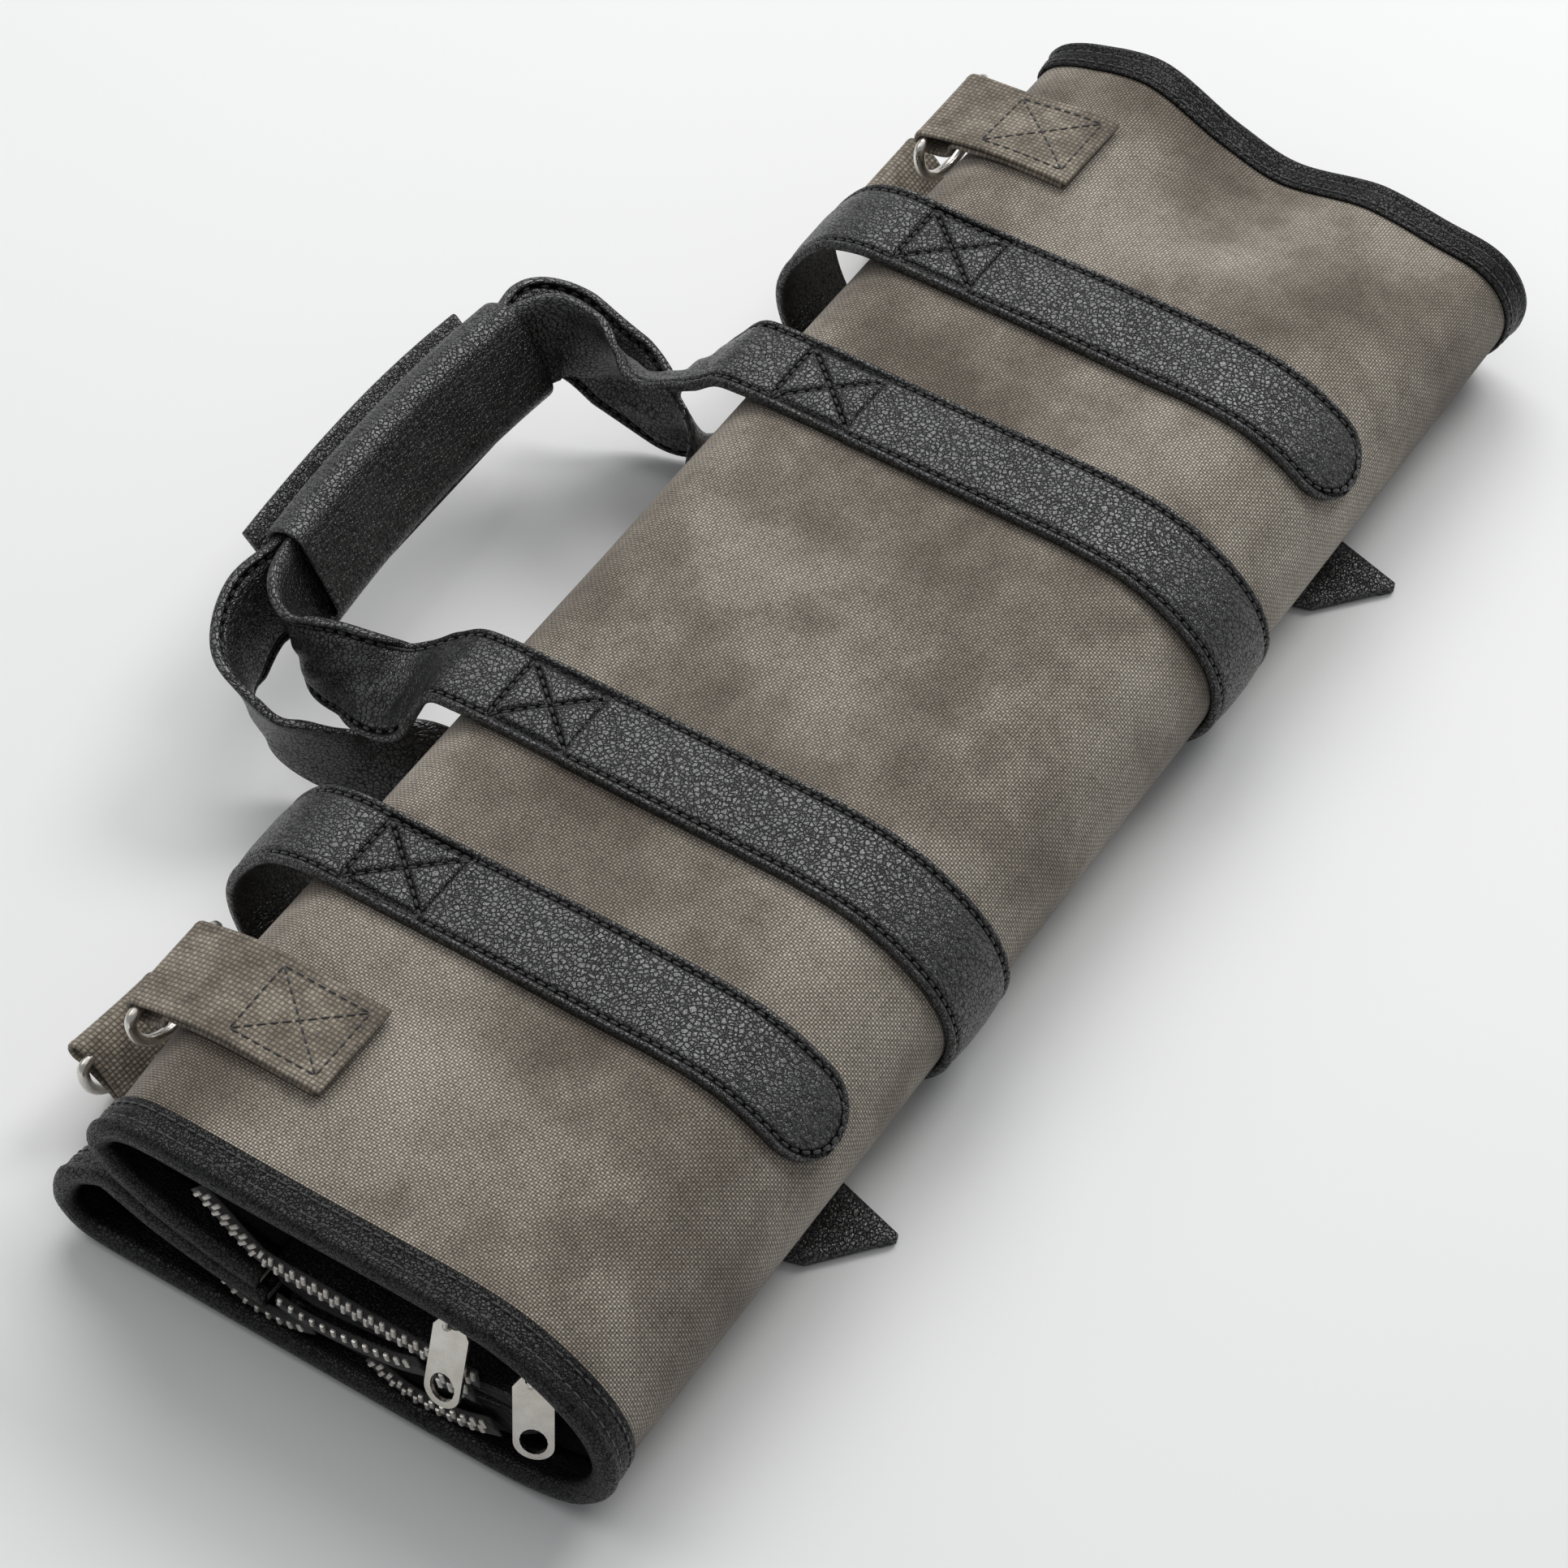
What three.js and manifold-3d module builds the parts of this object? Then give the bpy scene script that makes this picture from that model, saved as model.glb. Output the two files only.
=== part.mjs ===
// A carving tool roll: a waxed-canvas clamshell held by leather straps, with a carrying handle,
// webbing tabs with D-rings and zipped pockets. Millimetres, +Z up. X runs along the roll.
// The roll lies closed. Its spine is on the -Y side and the handle is on the +Y side.
import * as THREE from "three";
import { mergeVertices } from "three/addons/utils/BufferGeometryUtils.js";
import Module from "manifold-3d";

const wasm = await Module();
wasm.setup();

// ---- driving dimensions ----
const ROLL_HALF = 246;          // half the length over the leather bindings
const BINDING_WIDTH = 11.5;
const BINDING_LEATHER = 1.2;
const CANVAS = 1.6;
const LINING = 1.2;
const GAP = 0.35;               // air between touching pieces
const PANEL_BOTTOM = 3.35;      // underside of the canvas: one strap and one gap above the floor
const PANEL_TOP = 68;
const STRAP_WIDTH = 30;
const STRAP = 3;                // two layers of leather
const CLOSURE_X = 138;          // the two closure straps stand at plus and minus this
const CARRY_X = 71;             // the two carrying straps
const WEBBING_X = 195;
const WEBBING_WIDTH = 31.8;
const WEBBING = 1.6;
const RING_WIRE = 1.75;         // radius
const RING_INNER = 34;          // inside width of a D-ring
const RING_DEPTH = 21.5;
const GRIP_LENGTH = 108;
const GRIP_HEIGHT = 35;
const GRIP_THICK = 15;
const GRIP_WALL = 2.2;
const GRIP_LEAN = 26;           // degrees that the grip's top leans away from the roll
const GRIP_Y = 168;
const GRIP_Z = 46;
const STRAP_IN_GRIP = 29;
const PULL_LENGTH = 28;
const PULL_WIDTH = 11;
const PULL_PLATE = 1.4;
const CENTRE_X = -2.2;          // the whole object's middle: the zip pulls stand out of the near end
const CENTRE_Y = 54.1;          // and the handle stands out of the roll's +Y side
const STRAP_STEP = 5;           // spacing of the stations along a strap
const PEEL_Y = -18;             // where a closure strap's free end starts
const TOE_Y = -50;              // where a closure strap's pointed end starts
const TOE_SKEW = 0.3;           // how far its point swings towards +X, per millimetre of length
const HANDLE_Y = 97.5;          // where the carrying straps leave the roll for the handle

// ---- materials ----
const material = (color, roughness, metalness = 0) =>
  new THREE.MeshStandardMaterial({ color, roughness, metalness });
const CANVAS_CLOTH = material(0x6d6459, 0.85);
const LINING_CLOTH = material(0x1a1a1b, 0.8);
const LEATHER = material(0x17181a, 0.5);
const WEBBING_CLOTH = material(0x574e40, 0.9);
const NICKEL = material(0xc9c3b8, 0.3, 1);
const ZIP_TAPE = material(0x111112, 0.9);

// ---- paths in the Y-Z plane ----
// The canvas panel's outer face, from the upper flap's free edge round the upper lobe, over the top,
// round the spine, along the bottom, round the lower lobe and back to the lower flap's free edge.
const PANEL_OUTLINE = [
  [42, 26.8], [55, 29.5], [70, 34.5], [84, 41], [92, 47], [95, 53], [92, 60.5], [84, 66.3],
  [72, PANEL_TOP], [30, PANEL_TOP], [-20, PANEL_TOP], [-40, 64.8], [-56, 56], [-66, 45],
  [-69.5, 33], [-66.5, 20], [-57, 9.2], [-42, 4.4], [-26, PANEL_BOTTOM], [30, PANEL_BOTTOM],
  [88, PANEL_BOTTOM], [98, 5.2], [103.5, 12], [102.5, 21], [98, 30], [91, 37], [82, 34.6],
  [70, 29], [55, 24.6], [40, 22.6],
];

function smoothCurve(outline) {
  const points = outline.map(([y, z]) => new THREE.Vector3(y, z, 0));
  return new THREE.CatmullRomCurve3(points, false, "centripetal");
}

const flatten = (points) => points.map((p) => new THREE.Vector2(p.x, p.y));

// A smooth path through the outline's points, with a fixed number of steps between each two.
const smooth = (outline, steps = 2) => flatten(smoothCurve(outline).getPoints((outline.length - 1) * steps));

// The same, with even steps of a given length.
function evenSteps(outline, step = STRAP_STEP) {
  const curve = smoothCurve(outline);
  const path = flatten(curve.getSpacedPoints(Math.max(2, Math.round(curve.getLength() / step))));
  return clampHeights(path, FLOOR_MIDDLE, TOP_MIDDLE);
}

// Moves a path sideways: a positive distance goes to the left of its direction of travel.
function offset(path, distance) {
  return path.map((p, i) => {
    const before = path[Math.max(0, i - 1)];
    const after = path[Math.min(path.length - 1, i + 1)];
    const along = after.clone().sub(before).normalize();
    return new THREE.Vector2(p.x - along.y * distance, p.y + along.x * distance);
  });
}

const clampHeights = (path, low, high) =>
  path.map((p) => new THREE.Vector2(p.x, THREE.MathUtils.clamp(p.y, low, high)));

const PANEL = clampHeights(smooth(PANEL_OUTLINE), PANEL_BOTTOM, PANEL_TOP);
const STRAP_MIDDLE = offset(PANEL, -(GAP + STRAP / 2)).map((p) => p.toArray());
const TOP_MIDDLE = PANEL_TOP + GAP + STRAP / 2;
const FLOOR_MIDDLE = STRAP / 2;

// The middle of a strap that lies on the canvas over the spine, between two heights above the floor.
const spinePath = (fromZ, toZ) =>
  STRAP_MIDDLE.filter(([y, z]) => y < PEEL_Y - 10 && z < fromZ && z > toZ);

// ---- solids ----
function extrudeAlongX(outline, fromX, toX) {
  const shape = new THREE.Shape(outline);
  const solid = new THREE.ExtrudeGeometry(shape, { depth: toX - fromX, bevelEnabled: false });
  const turn = new THREE.Matrix4().makeBasis(
    new THREE.Vector3(0, 1, 0),
    new THREE.Vector3(0, 0, 1),
    new THREE.Vector3(1, 0, 0),
  );
  return solid.applyMatrix4(turn).translate(fromX, 0, 0);
}

// A closed solid through rings of corners. Every ring has the corners of the same flat contour.
function loft(rings, contour) {
  if (THREE.ShapeUtils.isClockWise(contour)) {
    return loft(rings.map((ring) => [...ring].reverse()), [...contour].reverse());
  }
  const n = contour.length;
  const faces = [];
  for (let i = 0; i + 1 < rings.length; i++) {
    for (let k = 0; k < n; k++) {
      const a = i * n + k;
      const b = i * n + ((k + 1) % n);
      // Opposite faces are split along the same diagonal, so a twisted band keeps its thickness.
      if (k >= n / 2) faces.push(a, b, a + n, b, b + n, a + n);
      else faces.push(a, b, b + n, a, b + n, a + n);
    }
  }
  const last = (rings.length - 1) * n;
  for (const [a, b, c] of THREE.ShapeUtils.triangulateShape(contour, [])) {
    faces.push(a, c, b, last + a, last + b, last + c);
  }
  const solid = new THREE.BufferGeometry().setFromPoints(rings.flat()).setIndex(faces);
  if (toManifold(solid).volume() < 0) solid.setIndex(faces.reverse());
  return solid;
}

// Sweeps a section along a path in the Y-Z plane. The section's corners are [x, inward], and inward
// is measured to the left of the path's direction of travel.
function sweepSection(path, section) {
  const lanes = section.map(([x, inward]) => ({ x, lane: offset(path, inward) }));
  const rings = path.map((_, i) => lanes.map(({ x, lane }) => new THREE.Vector3(x, lane[i].x, lane[i].y)));
  return loft(rings, section.map(([x, inward]) => new THREE.Vector2(x, inward)));
}

const sheetAlongX = (path, near, far, fromX, toX) =>
  sweepSection(path, [[fromX, near], [toX, near], [toX, far], [fromX, far]]);

const SQUARE = [[-1, -1], [1, -1], [1, 1], [-1, 1]].map(([s, o]) => new THREE.Vector2(s, o));

// A flat band swept through stations { at, side, out, width }: side is the unit vector across the
// band, out is the unit vector through its thickness.
function band(stations, thickness) {
  const rings = stations.map(({ at, side, out, width }) =>
    SQUARE.map(({ x, y }) =>
      at.clone().addScaledVector(side, (x * width) / 2).addScaledVector(out, (y * thickness) / 2),
    ),
  );
  return loft(rings, SQUARE);
}

// How wide a strap is at a distance from its end: a half-round tip, a pointed tip or a square cut.
const TIP_SHAPES = {
  round: (s, w) => (s >= w / 2 ? w : 2 * Math.sqrt((w / 2) ** 2 - (w / 2 - s) ** 2)),
  point: (s, w) => Math.min(w, 1.5 + (s * w) / 22),
  square: (s, w) => w,
};

// A strap at one X whose path lies in the Y-Z plane. Its last end takes the tip shape.
function flatStrap(path, x, width, thickness, tip = "square") {
  const lengths = path.map((p, i) => (i ? p.distanceTo(path[i - 1]) : 0));
  const total = lengths.reduce((sum, length) => sum + length, 0);
  let run = 0;
  const stations = path.map((p, i) => {
    run += lengths[i];
    const before = path[Math.max(0, i - 1)];
    const along = path[Math.min(path.length - 1, i + 1)].clone().sub(before).normalize();
    return {
      at: new THREE.Vector3(x, p.x, p.y),
      side: new THREE.Vector3(1, 0, 0),
      out: new THREE.Vector3(0, -along.y, along.x),
      width: Math.max(1.5, TIP_SHAPES[tip](total - run, width)),
    };
  });
  return band(stations, thickness);
}

function toManifold(geometry) {
  const plain = geometry.clone();
  plain.deleteAttribute("normal");
  plain.deleteAttribute("uv");
  const merged = mergeVertices(plain, 1e-3);
  const mesh = new wasm.Mesh({
    numProp: 3,
    vertProperties: new Float32Array(merged.attributes.position.array),
    triVerts: new Uint32Array(merged.index.array),
  });
  return new wasm.Manifold(mesh);
}

function fromManifold(solid) {
  const mesh = solid.getMesh();
  const geometry = new THREE.BufferGeometry();
  geometry.setAttribute("position", new THREE.BufferAttribute(new Float32Array(mesh.vertProperties), 3));
  return geometry.setIndex(new THREE.BufferAttribute(new Uint32Array(mesh.triVerts), 1));
}

const cut = (a, b) => fromManifold(toManifold(a).subtract(toManifold(b)));
const join = (a, b) => fromManifold(toManifold(a).add(toManifold(b)));

// ---- the assembly ----
const roll = new THREE.Group();
roll.position.set(-CENTRE_X, -CENTRE_Y, 0);

function add(name, geometry, finish, parent = roll) {
  const piece = new THREE.Mesh(geometry, finish);
  piece.name = name;
  parent.add(piece);
  return piece;
}

// Canvas outside, lining inside, and a leather binding folded over both at each end.
function makeShell() {
  const edge = ROLL_HALF - BINDING_LEATHER - GAP;
  const inner = CANVAS + GAP;
  add("outer_canvas", sheetAlongX(PANEL, 0, CANVAS, -edge, edge), CANVAS_CLOTH);
  add("inner_lining", sheetAlongX(PANEL, inner, inner + LINING, -edge, edge), LINING_CLOTH);
  makeBinding("near", -1);
  makeBinding("far", 1);
}

// A leather strip folded over the two layers' edge: a U whose arms lie outside and inside them.
function makeBinding(end, side) {
  const reach = side * ROLL_HALF;
  const slot = side * (ROLL_HALF - BINDING_LEATHER);
  const mouth = side * (ROLL_HALF - BINDING_WIDTH);
  const depth = CANVAS + GAP + LINING;
  const skin = BINDING_LEATHER + GAP;
  const section = [
    [reach, -skin], [reach, depth + skin], [mouth, depth + skin], [mouth, depth + GAP],
    [slot, depth + GAP], [slot, -GAP], [mouth, -GAP], [mouth, -skin],
  ];
  add(`binding_${end}`, sweepSection(PANEL, section), LEATHER);
}

makeShell();

// ---- closure straps: a fixed run round the roll, a free round end and a pointed end on the floor ----
const CLOSURE_LOOP = [
  [PEEL_Y, TOP_MIDDLE], [30, TOP_MIDDLE], [80, TOP_MIDDLE], [93, 69.2], [104, 65.2], [112, 57],
  [118.5, 46], [121, 35], [118.5, 22], [111.5, 9], [104, 3.2], [95, FLOOR_MIDDLE], [20, FLOOR_MIDDLE],
  [TOE_Y, FLOOR_MIDDLE],
];
const FREE_END = [[PEEL_Y - GAP, TOP_MIDDLE], [-24, 69.4], ...spinePath(68.8, 43)];
const POINTED_END = [[TOE_Y - GAP, FLOOR_MIDDLE], [-64, FLOOR_MIDDLE], [-82, FLOOR_MIDDLE]];

function makeClosureStrap(end, side) {
  const x = side * CLOSURE_X;
  add(`closure_strap_${end}`, flatStrap(evenSteps(CLOSURE_LOOP), x, STRAP_WIDTH, STRAP), LEATHER);
  add(`closure_tip_${end}`, flatStrap(evenSteps(FREE_END, 3.5), x, STRAP_WIDTH, STRAP, "round"), LEATHER);
  const toe = flatStrap(evenSteps(POINTED_END, 4), x, STRAP_WIDTH, STRAP, "point").translate(0, -TOE_Y, 0);
  toe.applyMatrix4(new THREE.Matrix4().makeShear(0, 0, -TOE_SKEW, 0, 0, 0)).translate(0, TOE_Y, 0);
  add(`closure_toe_${end}`, toe, LEATHER);
}

// ---- carrying straps: round the spine, open towards the handle ----
const CARRY_LOOP = [
  [HANDLE_Y, 68.7], [88, 69.6], [78, TOP_MIDDLE], [30, TOP_MIDDLE], [PEEL_Y, TOP_MIDDLE], [-24, 69.4],
  ...spinePath(68.8, FLOOR_MIDDLE + 0.3), [-20, FLOOR_MIDDLE], [30, FLOOR_MIDDLE], [HANDLE_Y, FLOOR_MIDDLE],
];

const makeCarryStrap = (end, side) =>
  add(`carry_strap_${end}`, flatStrap(evenSteps(CARRY_LOOP), side * CARRY_X, STRAP_WIDTH, STRAP), LEATHER);

for (const [end, side] of [["near", -1], ["far", 1]]) {
  makeClosureStrap(end, side);
  makeCarryStrap(end, side);
}

// ---- handle: two straps through one leather grip, and four legs that flex ----
const lean = THREE.MathUtils.degToRad(GRIP_LEAN);
const grip = new THREE.Group();
grip.position.set(0, GRIP_Y, GRIP_Z);
grip.rotation.x = -lean;
roll.add(grip);

// A rounded rectangle in the Y-Z plane, centred on the origin.
function roundedOutline(width, height, radius) {
  const shape = new THREE.Shape();
  const [w, h] = [width / 2 - radius, height / 2 - radius];
  shape.absarc(w, h, radius, 0, Math.PI / 2);
  shape.absarc(-w, h, radius, Math.PI / 2, Math.PI);
  shape.absarc(-w, -h, radius, Math.PI, Math.PI * 1.5);
  shape.absarc(w, -h, radius, Math.PI * 1.5, Math.PI * 2);
  return shape.getPoints(4).slice(0, -1);
}

function makeGrip() {
  const half = GRIP_LENGTH / 2;
  const skin = extrudeAlongX(roundedOutline(GRIP_THICK, GRIP_HEIGHT, 5), -half, half);
  const hollow = [GRIP_THICK - 2 * GRIP_WALL, GRIP_HEIGHT - 2 * GRIP_WALL];
  const bore = extrudeAlongX(roundedOutline(...hollow, 3.5), -half - 1, half + 1);
  add("grip_wrap", cut(skin, bore), LEATHER, grip);
  const layer = STRAP / 2 + 0.7;
  for (const [name, y] of [["upper", -layer], ["lower", layer]]) {
    const strip = new THREE.BoxGeometry(GRIP_LENGTH, STRAP, STRAP_IN_GRIP);
    add(`grip_strap_${name}`, strip.translate(0, y, 0), LEATHER, grip);
  }
}

// The wrap's loose edge: a flap along the outer side, hinged at its foot, that two snaps hold shut.
const FLAP_LEATHER = 2.2;
const FLAP_FOOT = GRIP_THICK / 2 + 2;
const FLAP_HEIGHT = 31;
const FLAP_LEAN = 12;           // degrees that its free edge stands off the grip
const SNAP_X = 32;

function makeGripFlap() {
  const foot = new THREE.Group();
  foot.position.set(0, FLAP_FOOT, -GRIP_HEIGHT / 2 + 1);
  foot.rotation.x = THREE.MathUtils.degToRad(-FLAP_LEAN);
  grip.add(foot);
  const leaf = new THREE.BoxGeometry(GRIP_LENGTH - 4, FLAP_LEATHER, FLAP_HEIGHT);
  add("grip_flap", leaf.translate(0, FLAP_LEATHER / 2, FLAP_HEIGHT / 2), LEATHER, foot);
  for (const [end, x] of [["near", -SNAP_X], ["far", SNAP_X]]) {
    const stud = new THREE.CylinderGeometry(3.4, 4.4, 1.4, 16);
    add(`snap_stud_${end}`, stud.translate(x, GRIP_THICK / 2 + GAP + 0.7, 3), NICKEL, grip);
    const cap = new THREE.CylinderGeometry(5.2, 6.2, 1.3, 20);
    add(`snap_cap_${end}`, cap.translate(x, FLAP_LEATHER + GAP + 0.65, 21), NICKEL, foot);
  }
}

// A leg's stations: [x, y, z, tilt], where tilt turns the strap's width from flat along X (0 degrees)
// to upright (90 degrees).
function makeLeg(name, rows) {
  const centres = rows.map(([x, y, z]) => new THREE.Vector3(x, y, z));
  const curve = new THREE.CatmullRomCurve3(centres, false, "centripetal");
  const tilts = new THREE.CatmullRomCurve3(rows.map(([, , , tilt]) => new THREE.Vector3(tilt, 0, 0)));
  const count = (rows.length - 1) * 4;
  const stations = Array.from({ length: count + 1 }, (_, i) => {
    const along = curve.getTangent(i / count);
    const tilt = THREE.MathUtils.degToRad(tilts.getPoint(i / count).x);
    const across = new THREE.Vector3(Math.cos(tilt), Math.sin(tilt) * Math.sin(lean), Math.sin(tilt));
    const side = across.addScaledVector(along, -across.dot(along)).normalize();
    const out = along.clone().cross(side).normalize();
    return { at: curve.getPoint(i / count), side, out, width: STRAP_WIDTH - 1 };
  });
  add(name, band(stations, STRAP), LEATHER);
}

const LEG_GAP = 3;              // between a flexing leg and the strap that it continues

function makeLegs() {
  const layer = STRAP / 2 + 0.7;
  const [dy, dz] = [layer * Math.cos(lean), layer * Math.sin(lean)];
  const end = GRIP_LENGTH / 2 + LEG_GAP;
  const start = HANDLE_Y + LEG_GAP;
  const upperEnd = [end, GRIP_Y - dy, GRIP_Z + dz, 90];
  const lowerEnd = [end, GRIP_Y + dy, GRIP_Z - dz, 90];
  const upperStart = [CARRY_X, start, 66.8, 0];
  const lowerStart = [CARRY_X, start, FLOOR_MIDDLE, 0];
  const rows = {
    upper_near: [
      upperStart, [71.5, 106, 61.5, 8], [75.5, 118, 49, 30], [76.5, 136, 47, 66],
      [75, 152, 45, 82], [67, 162, 47.3, 90],
    ],
    upper_far: [
      upperStart, [70, 107, 60.5, 5], [66, 121.5, 48.5, 29], [66.5, 136, 44.3, 64],
      [66.5, 150, 46.8, 84], [63, 160, 48, 90],
    ],
    lower_near: [
      lowerStart, [71, 103, 2.6, 3], [71.5, 108.5, 8, 28], [76, 118, 16.8, 76], [85, 133, 17.9, 103],
      [92, 151, 27.5, 106], [87, 167, 37.5, 84], [70, 173, 43.2, 90],
    ],
    lower_far: [
      lowerStart, [71, 103.5, 2.9, 1], [72.5, 108.5, 7.6, 16], [76, 118, 16.5, 60], [76, 131, 18, 94],
      [77, 148, 27, 108], [75, 164, 36, 98], [66.5, 171.5, 42.8, 90],
    ],
  };
  for (const [name, stations] of Object.entries(rows)) {
    const side = name.endsWith("near") ? -1 : 1;
    const last = name.startsWith("upper") ? upperEnd : lowerEnd;
    const turned = (tilt) => (side < 0 ? tilt : 180 - tilt);
    const mirrored = [...stations, last].map(([x, y, z, tilt]) => [side * x, y, z, turned(tilt)]);
    makeLeg(`handle_leg_${name}`, mirrored);
  }
}

makeGrip();
makeGripFlap();
makeLegs();

// ---- webbing tabs with D-rings ----
const FOLD_INNER = RING_WIRE + 0.6;
const TOP_FOLD = [104, 62.5];   // the bars of the D-rings, [y, z]
const BOTTOM_FOLD = [126, 23.5];

// A closed wire in the X-Z plane through the outline's points.
function closedWire(outline, radius, sides = 8) {
  const count = outline.length;
  const vertices = [];
  const faces = [];
  outline.forEach(([x, z], i) => {
    const [px, pz] = outline[(i + count - 1) % count];
    const [nx, nz] = outline[(i + 1) % count];
    const out = new THREE.Vector2(nz - pz, px - nx).normalize();
    for (let k = 0; k < sides; k++) {
      const turn = (k / sides) * Math.PI * 2;
      const reach = Math.cos(turn) * radius;
      vertices.push(new THREE.Vector3(x + out.x * reach, Math.sin(turn) * radius, z + out.y * reach));
      const a = i * sides + k;
      const b = i * sides + ((k + 1) % sides);
      const [c, d] = [((i + 1) % count) * sides + (k % sides), ((i + 1) % count) * sides + ((k + 1) % sides)];
      faces.push(a, b, d, a, d, c);
    }
  });
  const wire = new THREE.BufferGeometry().setFromPoints(vertices).setIndex(faces);
  if (toManifold(wire).volume() < 0) wire.setIndex(faces.reverse());
  return wire;
}

// The D: a straight bar along X at z = 0 and a half-round bow below it.
function ringOutline() {
  const half = RING_INNER / 2 + RING_WIRE;
  const bow = Array.from({ length: 15 }, (_, i) => {
    const turn = (i / 14) * Math.PI;
    return [Math.cos(turn) * half, -3 - Math.sin(turn) * (RING_DEPTH - 3)];
  });
  const bar = [-half + 2, -half / 2, half / 2, half - 2].map((x) => [x, 0]);
  return [...bow, ...bar];
}

// A tab's path comes back under itself round the ring's bar.
function makeTab(name, x, foldY, foldZ, outer, inner) {
  const reach = FOLD_INNER + WEBBING / 2;
  const bend = Array.from({ length: 7 }, (_, i) => {
    const turn = Math.PI / 2 - (i / 6) * Math.PI;
    return [foldY + Math.cos(turn) * reach, foldZ + Math.sin(turn) * reach];
  });
  const path = [...outer, ...bend, ...inner].map(([y, z]) => new THREE.Vector2(y, z));
  add(`webbing_${name}`, flatStrap(path, x, WEBBING_WIDTH, WEBBING), WEBBING_CLOTH);
  const hanger = new THREE.Group();
  hanger.position.set(x, foldY, foldZ);
  roll.add(hanger);
  add(`d_ring_${name}`, closedWire(ringOutline(), RING_WIRE), NICKEL, hanger);
}

const LAYER_1 = PANEL_TOP + GAP + WEBBING / 2;
const LAYER_2 = LAYER_1 + WEBBING + GAP;
for (const [end, x, sewnY] of [["near", -WEBBING_X, 43], ["far", WEBBING_X, 54]]) {
  const topOuter = [[sewnY, LAYER_2], [78, LAYER_2], [88, 69.9], [98, 67.5]];
  const topInner = [[96, 61.6], [94.5, 65.8], [88, 67.6], [78, LAYER_1], [sewnY + 2, LAYER_1]];
  makeTab(`top_${end}`, x, ...TOP_FOLD, topOuter, topInner);
  const low = FLOOR_MIDDLE;
  const lowOuter = [[60, low], [96, low], [106, 5.5], [113, 13], [119.5, 22]];
  const lowInner = [[118, 14], [110, 5.5], [100, 0.9]];
  makeTab(`bottom_${end}`, x, ...BOTTOM_FOLD, lowOuter, lowInner);
}

// ---- pockets inside the two folded flaps, and their zips at the near end ----
const MOUTH = -ROLL_HALF;       // the near end, where the pockets open
const FAR_INSIDE = 238;
const TAPE = 2;                 // a zip's teeth and tape together

function slabAlongX(outline, fromX, toX) {
  return extrudeAlongX(flatten(outline.map(([y, z]) => new THREE.Vector3(y, z, 0))), fromX, toX);
}

function makePockets() {
  const upperSheet = smooth([[84, 54], [74, 58.6], [60, 58.4], [42, 56.6], [0, 56], [-24, 55], [-48, 48]]);
  add("upper_pocket_panel", sheetAlongX(upperSheet, -0.7, 0.7, MOUTH + 16, FAR_INSIDE), LEATHER);
  const middle = [
    [40, 25], [40, 33], [0, 32], [-28, 34], [-44, 36], [-46, 31], [-12, 27], [10, 25], [28, 23],
  ];
  add("middle_pocket", slabAlongX(middle.reverse(), MOUTH + 5, FAR_INSIDE), LEATHER);
  const lower = [[37, 8.6], [37, 17], [14, 17], [-8, 20], [-36, 26], [-46, 24], [-36, 12.5], [-14, 8.6]];
  add("lower_pocket", slabAlongX(lower.reverse(), MOUTH + 6, FAR_INSIDE), LEATHER);
}

// A zip strip that faces the near end: its path lies in the Y-Z plane and its width is square to it.
function zipStrip(outline, x, width) {
  const path = smooth(outline, 3);
  const stations = path.map((p, i) => {
    const along = path[Math.min(path.length - 1, i + 1)].clone().sub(path[Math.max(0, i - 1)]).normalize();
    const side = new THREE.Vector3(0, -along.y, along.x);
    return { at: new THREE.Vector3(x, p.x, p.y), side, out: new THREE.Vector3(1, 0, 0), width };
  });
  return band(stations, TAPE);
}

const UPPER_ZIP_Z = 58.4;
const SPINE_ZIP_SLOPE = 26.6;   // degrees
const CHAIN_DEPTH = 11.9;       // of the upper zip's teeth behind the mouth

const ZIPS = {
  upper_zip_chain: {
    depth: CHAIN_DEPTH, width: 5.6, outline: [[48, UPPER_ZIP_Z], [10, UPPER_ZIP_Z], [-28, UPPER_ZIP_Z]],
  },
  spine_zip_chain: { depth: CHAIN_DEPTH, width: 5.6, outline: [[-31, 58], [-40, 53.5], [-55, 46]] },
  middle_zip_chain: {
    depth: 3, width: 7, outline: [[60, 55], [54, 50], [47, 43], [41, 38.5], [20, 37.5], [0, 37], [-28, 38]],
  },
  lower_zip_upper_teeth: {
    depth: 2.5, width: 4, outline: [[38, 21], [28, 19.6], [18, 20.6], [8, 22.4], [-2, 25], [-10, 29]],
  },
  lower_zip_closed_chain: { depth: 2.5, width: 6.5, outline: [[-14, 28.4], [-20, 29.8], [-26, 30.6]] },
  lower_zip_lower_teeth: {
    depth: 3, width: 3.6, outline: [[56, 17], [50, 12.6], [43, 11.2], [34, 13], [28, 16]],
  },
  bottom_zip_chain: {
    depth: 3, width: 5, outline: [[8, 17.5], [2, 13.6], [-5, 11.6], [-13, 11.8], [-23, 14], [-32, 18.5]],
  },
};

function makeZips() {
  for (const [name, { depth, width, outline }] of Object.entries(ZIPS)) {
    add(name, zipStrip(outline, MOUTH + depth, width), ZIP_TAPE);
  }
}

// ---- zip sliders, each with a ring and a pull ----
const SLIDER = { length: 13, width: 8.4, thick: 4.8, crown: 3.8, bar: 1.3, crownWidth: 2.2 };
const CHANNEL = { thick: 2.6, width: 6.3 };
const LINK_RADIUS = 3.4;        // the ring between slider and pull, to the middle of its wire
const LINK_WIRE = 0.8;
const EYE_RIM = 1.7;            // how far a pull reaches past the middle of its eye

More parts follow.
